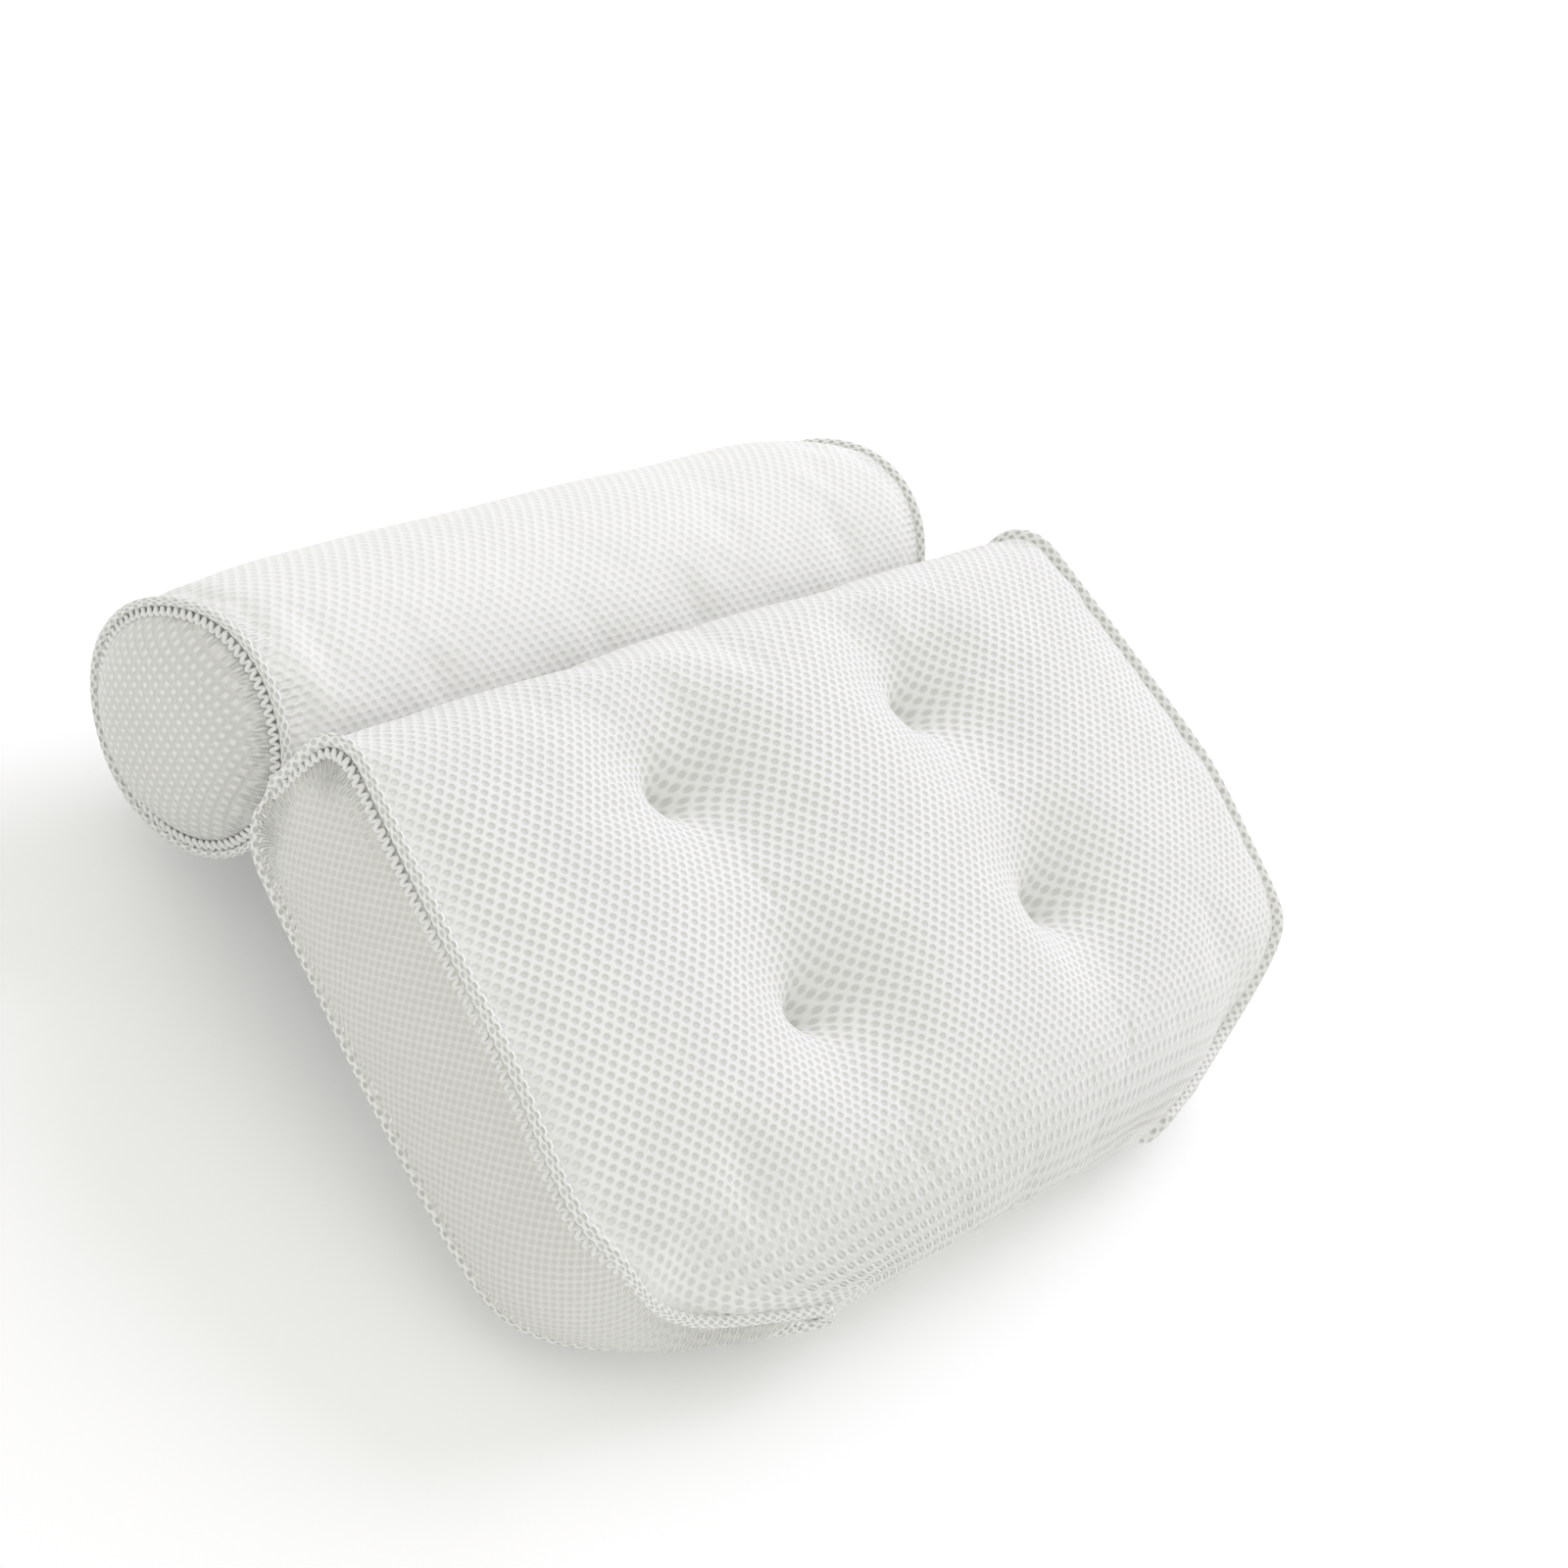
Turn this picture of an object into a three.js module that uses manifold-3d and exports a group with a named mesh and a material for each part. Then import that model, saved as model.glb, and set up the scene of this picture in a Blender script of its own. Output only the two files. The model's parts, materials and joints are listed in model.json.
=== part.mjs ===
// Bath pillow: a tufted head pad and a neck roll in white spacer mesh, sewn together along a fold line,
// with suction cups in the back of both. Millimetres, +Z up, standing on its cups, the roll at +Y.
// Pad and roll are shaped in the pad's own frame: X across, Y from the foot up to the roll, and Z out
// of the face that the head lies on, with the middle of the pad's sides at Z = 0.
import * as THREE from "three";
import { mergeVertices } from "three/addons/utils/BufferGeometryUtils.js";
import Module from "manifold-3d";

const wasm = await Module();
wasm.setup();

// Clearances
const GAP = 0.3; // between pieces that touch
const FACET_ROOM = 0.4; // more room where a curved edge runs along a round cord
const TIP_ROOM = 1.4; // and where it turns sharply, at the tips of the side panels

// Mesh fabric and its piping
const FABRIC = 4; // thickness of the spacer mesh
const PIPING_R = 2.9;
const PIPING_SINK = 1.4; // from the corner of the cover in to the middle of the piping

// Pad outline, seen square to its face
const TOP_HALF_WIDTH = 171;
const MAX_HALF_WIDTH = 185;
const TIP_HALF_WIDTH = 80; // where the side panels end under the foot
const TOP_Y = 80.5;
const WIDEST_Y = -50;
const FOOT_Y = -112;
const TOP_DRAW_POWER = 1.6; // how late the sides draw in towards the top
const CORNER_POWER = 3; // and round the foot corners
const CORNER_START = 0.33; // where a foot corner starts and ends, as shares of the way
const CORNER_END = 0.78; // from the widest place to the foot
const TAIL_LENGTH = 3; // from the last station to the foot

// Pad thickness
const SIDE_HEIGHT = 49; // width of the side panels
const TOP_FRONT_R = 13; // round of the side panel's top corners
const TOP_BACK_R = 16;
const FOOT_DROP = 7; // fall of the front edge between the middle and the foot corner
const FOOT_DROP_Y = -10; // where that fall starts
const CORNER_DROP = 21; // and round the foot corner
const BACK_RISE = 9; // rise of the back edge round the foot corner
const TIP_SPREAD = 12; // between the two piping runs where they turn into each other
const RIDGE_CROWN = 5; // height of the filling over the side edges, along the top
const FACE_CROWN = 11; // and in the middle of the face
const FULL_CROWN_Y = 15; // from where on the face has its full crown
const CROWN_POWER = 2.4; // how late the crown falls off towards the sides
const FOOT_MIDDLE_Z = -12;
const FACE_ROUND = 67; // length over which the face turns down to the foot
const BACK_ROUND = 24; // and over which the back turns up to it
const NECK_DRAW = 1.5; // how far the neck seam draws the cover in
const SIDE_BULGE = 4;

// Tufts
const TUFT_X = 62.6;
const TUFT_TOP_Y = 34.4;
const TUFT_FOOT_Y = -36.2;
const TUFT_DEPTH = 21;
const TUFT_REACH = 18; // distance over which a tuft's hollow fades to about a third
const TUFT_SHARPNESS = 1.2; // power of that fading
const TUFT_BACK_DEPTH = 3;
const TUFT_BACK_REACH = 9;
const TUFT_BACK_SHARPNESS = 2;
const TIE_R = 0.9;
const TIE_ROOM = 0.4; // round the thread in its holes
const KNOT_R = 2.4;
const KNOT_HEIGHT = 1.2;
const KNOT_TOP = 0.6; // share of the knot's radius that is left at its end
const FRONT_KNOT_SLOPE = 1.6; // rise of the knot's cone in the hollow, for its width
const BACK_KNOT_SLOPE = 0.4;

// Neck roll
const ROLL_HALF_LENGTH = 160.6; // to the middle of the end piping
const ROLL_R = 38.3;
const ROLL_END_R = 36.6; // radius of the end piping's middle line
const ROLL_END_BULGE = 13;
const ROLL_END_POWER = 4; // how late the bulge falls off towards the piping
const ROLL_END_STEP = 0.6; // how far the end panel's rim lies outside the middle of its piping
const ROLL_END_FABRIC = 3.6; // thickness of the end panels, stretched by the filling
const ROLL_SHOULDER = 16; // length over which the cover draws in to the end piping
const NECK_SPACE = 4.6; // between pad cover and roll cover at the neck seam
const NECK_ANGLE = -28.8; // direction from the pad's back corner to the roll, in degrees
const NECK_SEAM_HALF_LENGTH = 150;

// Suction cups
const CUP_R = 21;
const CUP_LIP = 2.4; // width of the flat sealing lip
const CUP_HOLLOW = 3.2;
const CUP_HEIGHT = 8.6; // from the lip to the neck
const CUP_EDGE = 0.9; // height of the cup's rim
const CUP_ROOF = [0.55, 0.8]; // where the hollow turns flatter, as shares of radius and hollow
const CUP_BACK = [0.72, 0.62]; // where the back turns steeper, as shares of radius and height
const CUP_SHOULDER = 0.4; // share of the radius at the foot of the neck
const CUP_NECK_R = 4.2;
const CUP_HEAD_R = 6.4;
const CUP_HEAD_HEIGHT = 2.6;
const CUP_HEAD_TOP = 0.8; // share of the head's radius at its top
const NECK_ROOM = 0.4; // round the cup's neck in its eyelet
const EYELET_R = 8.6;
const EYELET_FLANGE = 1;
const EYELET_WALL = 1.1;
const PAD_CUP_X = 112;
const PAD_CUP_TOP_Y = 28;
const PAD_CUP_FOOT_Y = -60;
const ROLL_CUP_X = 95;

// How finely the forms are divided
const SIDE_STEPS = 4; // across a side panel
const ARC_STEPS = 3; // round each top corner of a side panel
const ROLL_STEP = 15; // degrees round the roll
const CORD_SIDES = 8;
const END_PIPING_STEPS = 36;
const TURNED_SIDES = 16;
const POCKET_SIDES = 12;
const SMALL_SIDES = 8; // threads and their holes
const TUFT_STEPS = [7, 16, 35]; // distances of the grid's lines from a tuft
const BETWEEN_TUFTS = [0.27, 0.5, 0.73]; // rows, as shares of the way from tuft to tuft
const CORNER_ROWS = [0.1, 0.3, 0.5, 0.66]; // and from the widest place to the foot
const TAIL_ROW = 0.55; // and from the corner's end to the tail
const OUTER_COLUMNS = [0.16, 0.5, 1]; // columns, as shares of the way from the tufts to the edge
const END_RINGS = [0, 0.45, 0.7, 0.87, 1]; // rings of an end panel, as shares of its radius
const BULGE_EASE = [3, 5]; // stations over which the side's bulge fades, at the top and at the tip

const rad = THREE.MathUtils.degToRad;
const lerp = THREE.MathUtils.lerp;
const vec = (x = 0, y = 0, z = 0) => new THREE.Vector3(x, y, z);
const sum = (a, b, times = 1) => a.clone().addScaledVector(b, times);
const range = (count) => Array.from({ length: count }, (_, i) => i);
// 0 at high and above, 1 at low and below, with an even ramp between
const fall = (value, high, low) => THREE.MathUtils.smoothstep(-value, -high, -low);

const matte = (color) => new THREE.MeshStandardMaterial({ color, roughness: 0.85, metalness: 0 });
const MATERIALS = {
  mesh: matte(0xf1f0f2),
  sideMesh: matte(0xe2e4dd),
  piping: matte(0xe6e6e0),
  filling: matte(0xf8f8f4),
  thread: matte(0xfafafa),
  cup: new THREE.MeshStandardMaterial({ color: 0xdfe6ea, roughness: 0.15, metalness: 0 }),
  eyelet: new THREE.MeshStandardMaterial({ color: 0xf2f2f0, roughness: 0.4, metalness: 0 }),
};

function named(name, geometry, material) {
  const mesh = new THREE.Mesh(geometry, MATERIALS[material].clone());
  mesh.name = name;
  return mesh;
}

// Closed meshes from grids of points

// The two triangles of each cell of a grid, as a flat list of corners.
function cells(grid, turned = false) {
  const corners = [];
  for (let i = 0; i + 1 < grid.length; i += 1) {
    for (let j = 0; j + 1 < grid[i].length; j += 1) {
      const [a, b, c, d] = [grid[i][j], grid[i + 1][j], grid[i + 1][j + 1], grid[i][j + 1]];
      corners.push(...(turned ? [a, c, b, a, d, c] : [a, b, c, a, c, d]));
    }
  }
  return corners;
}

// A closed geometry from a list of corners, turned to face outwards.
function closedGeometry(corners) {
  const geometry = mergeVertices(new THREE.BufferGeometry().setFromPoints(corners), 1e-4);
  const { position } = geometry.attributes;
  const order = geometry.index.array;
  const corner = (i) => vec().fromBufferAttribute(position, order[i]);
  let volume = 0;
  for (let i = 0; i < order.length; i += 3) {
    volume += corner(i).dot(corner(i + 1).cross(corner(i + 2)));
  }
  if (volume < 0) order.reverse();
  geometry.computeVertexNormals();
  return geometry;
}

// A plate between two grids of the same size.
function plate(outer, inner) {
  const firstRow = [outer[0], inner[0]];
  const lastRow = [outer.at(-1), inner.at(-1)];
  const firstColumn = [outer, inner].map((grid) => grid.map((row) => row[0]));
  const lastColumn = [outer, inner].map((grid) => grid.map((row) => row.at(-1)));
  return closedGeometry([
    ...cells(outer),
    ...cells(inner, true),
    ...cells(firstRow, true),
    ...cells(lastRow),
    ...cells(firstColumn),
    ...cells(lastColumn, true),
  ]);
}

// A round cord along a closed line, with a direction square to it at each point.
function closedCord(line, outwards, radius) {
  const count = line.length;
  const rings = line.map((point, i) => {
    const along = sum(line[(i + 1) % count], line[(i + count - 1) % count], -1).normalize();
    const side = sum(outwards[i], along, -outwards[i].dot(along)).normalize();
    const other = along.clone().cross(side);
    return range(CORD_SIDES + 1).map((k) => {
      const angle = ((k % CORD_SIDES) * 2 * Math.PI) / CORD_SIDES;
      return sum(sum(point, side, radius * Math.cos(angle)), other, radius * Math.sin(angle));
    });
  });
  return closedGeometry(cells([...rings, rings[0]]));
}

// A turned solid from [radius, height] pairs, with its axis along Z.
function turned(profile, sides = TURNED_SIDES) {
  const points = profile.map(([radius, height]) => new THREE.Vector2(radius, height));
  return new THREE.LatheGeometry(points, sides).rotateX(Math.PI / 2);
}

// Cutting

function toSolid(geometry) {
  const source = geometry.index ? geometry.toNonIndexed() : geometry;
  const bare = new THREE.BufferGeometry().setAttribute("position", source.getAttribute("position"));
  const merged = mergeVertices(bare, 1e-4);
  return new wasm.Manifold(
    new wasm.Mesh({
      numProp: 3,
      vertProperties: merged.attributes.position.array,
      triVerts: new Uint32Array(merged.index.array),
    }),
  );
}

function cut(geometry, tools) {
  const mesh = tools.reduce((solid, tool) => solid.subtract(toSolid(tool)), toSolid(geometry)).getMesh();
  const result = new THREE.BufferGeometry();
  result.setAttribute("position", new THREE.BufferAttribute(mesh.vertProperties, 3));
  result.setIndex(new THREE.BufferAttribute(mesh.triVerts, 1));
  result.computeVertexNormals();
  return result;
}

// A round post along Z between two heights.
function post(x, y, low, high, radius, sides = TURNED_SIDES) {
  const geometry = new THREE.CylinderGeometry(radius, radius, high - low, sides);
  return geometry.rotateX(Math.PI / 2).translate(x, y, (low + high) / 2);
}

// Shape of the pad

const FRONT_Z = SIDE_HEIGHT / 2;
const BACK_Z = -SIDE_HEIGHT / 2;
const CORNER_START_Y = lerp(WIDEST_Y, FOOT_Y, CORNER_START);
const CORNER_END_Y = lerp(WIDEST_Y, FOOT_Y, CORNER_END);
const TAIL_Y = FOOT_Y + TAIL_LENGTH;

function halfWidth(y) {
  const below = Math.min(1, Math.max(0, (WIDEST_Y - y) / (WIDEST_Y - FOOT_Y)));
  const above = Math.min(1, Math.max(0, (y - WIDEST_Y) / (TOP_Y - WIDEST_Y)));
  const corner = (MAX_HALF_WIDTH - TIP_HALF_WIDTH) * below ** CORNER_POWER;
  return MAX_HALF_WIDTH - corner - (MAX_HALF_WIDTH - TOP_HALF_WIDTH) * above ** TOP_DRAW_POWER;
}

function frontEdgeZ(y) {
  const down = fall(y, FOOT_DROP_Y, CORNER_START_Y);
  return FRONT_Z - FOOT_DROP * down - CORNER_DROP * fall(y, CORNER_START_Y, CORNER_END_Y);
}

const backEdgeZ = (y) => BACK_Z + BACK_RISE * fall(y, CORNER_START_Y, TAIL_Y);

// Heights along the pad's middle line: quarter ellipses of a given length close the foot, and stop
// just short of upright.
const ELLIPSE_END = 0.98;
function ellipseFall(y, length) {
  const reach = THREE.MathUtils.clamp((FOOT_Y + length - y) / length, 0, ELLIPSE_END);
  return Math.sqrt(1 - reach ** 2);
}

function middleFrontZ(y) {
  const crown = lerp(RIDGE_CROWN, FACE_CROWN, fall(y, TOP_Y - TOP_FRONT_R, FULL_CROWN_Y));
  return lerp(FOOT_MIDDLE_Z, FRONT_Z + crown, ellipseFall(y, FACE_ROUND));
}

const middleBackZ = (y) => lerp(FOOT_MIDDLE_Z, BACK_Z, ellipseFall(y, BACK_ROUND));

// Stations down the pad below its rounded top, closer together at the tufts
const aroundTuft = (y) => [y + TUFT_STEPS[0], y, y - TUFT_STEPS[0]];
const LEVELS = [
  (TUFT_TOP_Y + TUFT_STEPS[0] + TOP_Y - TOP_BACK_R) / 2,
  ...aroundTuft(TUFT_TOP_Y),
  ...BETWEEN_TUFTS.map((share) => lerp(TUFT_TOP_Y, TUFT_FOOT_Y, share)),
  ...aroundTuft(TUFT_FOOT_Y),
  ...CORNER_ROWS.map((share) => lerp(WIDEST_Y, FOOT_Y, share)),
  CORNER_END_Y,
  lerp(CORNER_END_Y, TAIL_Y, TAIL_ROW),
  TAIL_Y,
];
const STATIONS = ARC_STEPS + 1 + LEVELS.length;
const LAST = STATIONS - 1;

// Corner point of the cover at a station, on the front (side 1) or the back (side -1), with its
// partner on the pad's middle line.
function edgeAndMiddle(station, side) {
  const front = side > 0;
  if (station > ARC_STEPS) {
    const y = LEVELS[station - ARC_STEPS - 1];
    const [edgeZ, middleZ] = front ? [frontEdgeZ(y), middleFrontZ(y)] : [backEdgeZ(y), middleBackZ(y)];
    return [vec(halfWidth(y), y, edgeZ), vec(0, y, middleZ)];
  }
  const radius = front ? TOP_FRONT_R : TOP_BACK_R;
  const angle = (station / ARC_STEPS) * (Math.PI / 2);
  const y = TOP_Y - radius + radius * Math.cos(angle);
  const out = radius * (1 - Math.sin(angle));
  const edge = vec(halfWidth(y), y, front ? FRONT_Z - out : BACK_Z + out);
  return [edge, vec(0, y, edge.z + (front ? RIDGE_CROWN * Math.sin(angle) : 0))];
}

// Rows round the pad as [edge point, middle point]: up the end face, down the front, round the
// foot and up the back.
function padRows() {
  const fronts = range(STATIONS).map((k) => edgeAndMiddle(k, 1));
  const backs = range(STATIONS).map((k) => edgeAndMiddle(k, -1));
  const between = (from, to, reach) =>
    range(SIDE_STEPS - 1).map((i) => {
      const t = (i + 1) / SIDE_STEPS;
      const bow = reach * Math.sin(Math.PI * t);
      return [
        from[0].clone().lerp(to[0], t).add(vec(-bow, -bow / 3, 0)),
        from[1].clone().lerp(to[1], t).add(vec(0, -bow / 3, 0)),
      ];
    });
  const endFace = between(backs[0], fronts[0], 0);
  const foot = between(fronts[LAST], backs[LAST], TIP_SPREAD / 2);
  return [...endFace, ...fronts, ...foot, ...backs.reverse()];
}

const ROWS = padRows();
const ROW_COUNT = ROWS.length;
const FIRST_FOOT = SIDE_STEPS - 1 + STATIONS;
const FIRST_BACK = FIRST_FOOT + SIDE_STEPS - 1;
const frontRow = (station) => SIDE_STEPS - 1 + station;
const backRow = (station) => FIRST_BACK + LAST - station;
const rowAt = (i) => ROWS[(i + ROW_COUNT) % ROW_COUNT];
const NECK_ROW = backRow(1);
const FOOT_SEAM_ROW = backRow(LAST - 1);

// Direction from a row's edge point into the side panel.
function intoSide(i) {
  const here = ROWS[i][0];
  if (i < frontRow(0)) return vec(0, -1, 0);
  if (i < FIRST_FOOT) return sum(ROWS[backRow(i - frontRow(0))][0], here, -1);
  if (i < FIRST_BACK) return sum(ROWS[frontRow(LAST - 1)][0], here, -1).setZ(0);
  return sum(ROWS[frontRow(LAST - (i - FIRST_BACK))][0], here, -1);
}

// Outward normals at each row: of the cover and the side panel at its edge, and of the middle line.
const FRAMES = ROWS.map(([edge, middle], i) => {
  const along = sum(rowAt(i + 1)[0], rowAt(i - 1)[0], -1).normalize();
  const inwards = sum(middle, edge, -1).multiply(vec(1, CROWN_POWER, CROWN_POWER)).normalize();
  const middleAlong = sum(rowAt(i + 1)[1], rowAt(i - 1)[1], -1);
  return {
    cover: inwards.cross(along).normalize(),
    side: along.cross(intoSide(i)).normalize(),
    middle: vec(-1, 0, 0).cross(middleAlong).normalize(),
  };
});

// Edge and middle point of a row on the surface that lies depth under the cover's.
function sunkEdge(i, depth) {
  const { cover, side } = FRAMES[i];
  return sum(ROWS[i][0], sum(cover, side), -depth / (1 + cover.dot(side)));
}
const sunkMiddle = (i, depth) => sum(ROWS[i][1], FRAMES[i].middle, -depth);

// Where the side panels stop beside the piping, from the corner of the cover
const SEAM_MARGIN = PIPING_SINK + PIPING_R + GAP + FACET_ROOM;

// How strongly the hollows of the tufts act at a point: 1 at a tuft, fading with distance.
function tuftPull(x, y, reach, sharpness) {
  return [TUFT_TOP_Y, TUFT_FOOT_Y].reduce((pull, tuftY) => {
    const distance = Math.hypot(Math.abs(x) - TUFT_X, y - tuftY);
    return pull + Math.exp(-((distance / reach) ** sharpness));
  }, 0);
}

// A point of the cover, depth under its outside, on row i at x from the middle.
function coverPoint(i, x, depth) {
  const edge = sunkEdge(i, depth);
  const share = 1 - Math.min(1, Math.abs(x) / edge.x) ** CROWN_POWER;
  const point = edge.clone().lerp(sunkMiddle(i, depth), share).setX(x);
  const onFace = i >= frontRow(ARC_STEPS) && i < FIRST_FOOT;
  const onBack = i > FIRST_BACK && i <= backRow(ARC_STEPS);
  if (onFace) point.z -= TUFT_DEPTH * Math.min(1, tuftPull(x, point.y, TUFT_REACH, TUFT_SHARPNESS));
  if (onBack) point.z += TUFT_BACK_DEPTH * tuftPull(x, point.y, TUFT_BACK_REACH, TUFT_BACK_SHARPNESS);
  if (i === NECK_ROW) point.addScaledVector(FRAMES[i].middle, -NECK_DRAW);
  return point;
}

// How far a point is from the middle of the right piping.
const PIPING_LINE = ROWS.map((_, i) => sunkEdge(i, PIPING_SINK));
const PIPING_STRETCHES = PIPING_LINE.map((point, i) => {
  return new THREE.Line3(point, PIPING_LINE[(i + 1) % ROW_COUNT]);
});
function pipingDistance(point) {
  const nearest = vec();
  const distanceTo = (line) => line.closestPointToPoint(point, true, nearest).distanceTo(point);
  return Math.min(...PIPING_STRETCHES.map(distanceTo));
}

// Where a row of the cover's panels ends, with both its faces clear of the piping.
function panelEdge(i) {
  const atTip = i >= frontRow(LAST - 1) && i <= backRow(LAST - 1);
  const clear = PIPING_R + GAP + (atTip ? TIP_ROOM : FACET_ROOM);
  let x = sunkEdge(i, FABRIC).x;
  while ([0, FABRIC].some((depth) => pipingDistance(coverPoint(i, x, depth)) < clear)) x -= GAP / 2;
  return x;
}

// Columns of the right half of a row: the middle, each side of the tufts, and on to the edge
// of the panel.
function columnsOf(i) {
  const inner = TUFT_STEPS.map((step) => TUFT_X - step).reverse();
  const outer = TUFT_X + TUFT_STEPS[0];
  const edge = panelEdge(i);
  return [0, ...inner, TUFT_X, outer, ...OUTER_COLUMNS.map((share) => lerp(outer, edge, share))];
}
const COLUMNS = ROWS.map((_, i) => columnsOf(i));

// The cover between two rows, or all round, from the left edge of the panels to the right.
function coverGrid(first, count, depth) {
  return range(count).map((step) => {
    const i = (first + step) % ROW_COUNT;
    const right = COLUMNS[i];
    const xs = [...right.slice(1).reverse().map((x) => -x), ...right];
    return xs.map((x) => coverPoint(i, x, depth));
  });
}

// The right side panel's surface, depth under its outside, as stations by steps from the front
// edge to the back edge. The middle steps keep the seam margin from the edges.
function sideGrid(depth) {
  return range(STATIONS).map((k) => {
    const [outerFront, outerBack] = [ROWS[frontRow(k)][0], ROWS[backRow(k)][0]];
    const [front, back] = [sunkEdge(frontRow(k), depth), sunkEdge(backRow(k), depth)];
    const width = outerFront.distanceTo(outerBack);
    const sunkWidth = front.distanceTo(back);
    const outwards = sum(FRAMES[frontRow(k)].side, FRAMES[backRow(k)].side).normalize();
    const ease = Math.min(1, k / BULGE_EASE[0], (LAST - k) / BULGE_EASE[1]);
    return range(SIDE_STEPS + 1).map((step) => {
      if (step === 0) return front;
      if (step === SIDE_STEPS) return back;
      if (k === 0) return sunkEdge(frontRow(0) - step, depth);
      if (k === LAST) return sunkEdge(FIRST_FOOT + step - 1, depth);
      const inset = lerp(SEAM_MARGIN, width - SEAM_MARGIN, (step - 1) / (SIDE_STEPS - 2));
      const share = inset / width;
      const sunkShare = (inset - (width - sunkWidth) / 2) / sunkWidth;
      const point = front.clone().lerp(back, sunkShare);
      return point.addScaledVector(outwards, SIDE_BULGE * ease * 4 * share * (1 - share));
    });
  });
}

const mirrored = (grid) => grid.map((row) => row.map((point) => vec(-point.x, point.y, point.z)));

// The pad's pieces

const TUFTS = [TUFT_TOP_Y, TUFT_FOOT_Y].flatMap((y) => [-TUFT_X, TUFT_X].map((x) => [x, y]));
const PAD_CUPS = [PAD_CUP_TOP_Y, PAD_CUP_FOOT_Y].flatMap((y) => [-PAD_CUP_X, PAD_CUP_X].map((x) => [x, y]));
const CORNERS = ["top_left", "top_right", "foot_left", "foot_right"];
const OVERCUT = 1; // how far a cutter stands out of what it cuts

const HOLE_TOP = FRONT_Z + FACE_CROWN + OVERCUT;
const tieHole = ([x, y]) => post(x, y, BACK_Z - OVERCUT, HOLE_TOP, TIE_R + TIE_ROOM, SMALL_SIDES);
const BARREL_R = CUP_NECK_R + NECK_ROOM + EYELET_WALL;
const eyeletHole = ([x, y]) => post(x, y, BACK_Z - OVERCUT, BACK_Z + FABRIC + OVERCUT, BARREL_R + GAP);
const CUP_HEAD_Z = FABRIC + 2 * GAP; // from the outside of a cover to the underside of a cup's head
const POCKET_DEPTH = CUP_HEAD_Z + CUP_HEAD_HEIGHT + GAP;
const POCKET_R = CUP_HEAD_R + 2 * GAP;
const headPocket = ([x, y]) => post(x, y, BACK_Z - OVERCUT, BACK_Z + POCKET_DEPTH, POCKET_R, POCKET_SIDES);

// Moves the first or last row of both grids back from the seam that it lies on.
function seamGap(grid, end) {
  const [row, next] = end === "first" ? [grid[0], grid[1]] : [grid.at(-1), grid.at(-2)];
  row.forEach((point, i) => point.add(sum(next[i], point, -1).setLength(2 * GAP)));
  return grid;
}

function frontPanel() {
  const count = FOOT_SEAM_ROW - NECK_ROW + ROW_COUNT + 1;
  const grids = [0, FABRIC].map((depth) => coverGrid(NECK_ROW, count, depth));
  grids.forEach((grid) => seamGap(seamGap(grid, "first"), "last"));
  return cut(plate(...grids), TUFTS.map(tieHole));
}

function backPanel() {
  const count = NECK_ROW - FOOT_SEAM_ROW + 1;
  const grids = [0, FABRIC].map((depth) => coverGrid(FOOT_SEAM_ROW, count, depth));
  grids.forEach((grid) => seamGap(seamGap(grid, "first"), "last"));
  return cut(plate(...grids), [...TUFTS.map(tieHole), ...PAD_CUPS.map(eyeletHole)]);
}

// The side panel's own stations run from the round of the top corner to the last but one.
function sidePanel(mirror) {
  const grids = [0, FABRIC].map((depth) => {
    const grid = sideGrid(depth).slice(ARC_STEPS - 1, LAST).map((row) => row.slice(1, -1));
    return mirror ? mirrored(grid) : grid;
  });
  return plate(...grids);
}

function padPiping(mirror) {
  const flip = (point) => (mirror ? vec(-point.x, point.y, point.z) : point);
  const line = ROWS.map((_, i) => flip(sunkEdge(i, PIPING_SINK)));
  return closedCord(line, FRAMES.map(({ side }) => flip(side)), PIPING_R);
}

function padFilling() {
  const depth = FABRIC + GAP;
  const cover = coverGrid(0, ROW_COUNT + 1, depth).map((row, i) => {
    const edge = sunkEdge(i % ROW_COUNT, depth);
    return [vec(-edge.x, edge.y, edge.z), ...row, edge];
  });
  const side = sideGrid(depth);
  const solid = closedGeometry([...cells(cover), ...cells(side), ...cells(mirrored(side), true)]);
  return cut(solid, [...TUFTS.map(tieHole), ...PAD_CUPS.map(headPocket)]);
}

// A thread through the pad with a knot seated in the hollow at each end.
function tuftTie([x, y]) {
  const frontZ = coverPoint(frontRow(ARC_STEPS + 1 + LEVELS.indexOf(y)), x, 0).z;
  const backZ = coverPoint(backRow(ARC_STEPS + 1 + LEVELS.indexOf(y)), x, 0).z;
  const low = backZ - GAP;
  const lowKnot = low - BACK_KNOT_SLOPE * (KNOT_R - TIE_R);
  const high = frontZ + 2 * GAP + TIE_R;
  const highKnot = high + FRONT_KNOT_SLOPE * (KNOT_R - TIE_R);
  const profile = [
    [0, lowKnot - KNOT_HEIGHT],
    [KNOT_TOP * KNOT_R, lowKnot - KNOT_HEIGHT],
    [KNOT_R, lowKnot],
    [TIE_R, low],
    [TIE_R, high],
    [KNOT_R, highKnot],
    [KNOT_TOP * KNOT_R, highKnot + KNOT_HEIGHT],
    [0, highKnot + KNOT_HEIGHT],
  ];
  return turned(profile, SMALL_SIDES).translate(x, y, 0);
}

// Suction cups and their eyelets, built about an axis along Z with the outside of the cover at
// height 0 and the fabric above it

const LIP_Z = -(EYELET_FLANGE + 2 * GAP + CUP_HEIGHT); // height of the sealing lip

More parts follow.
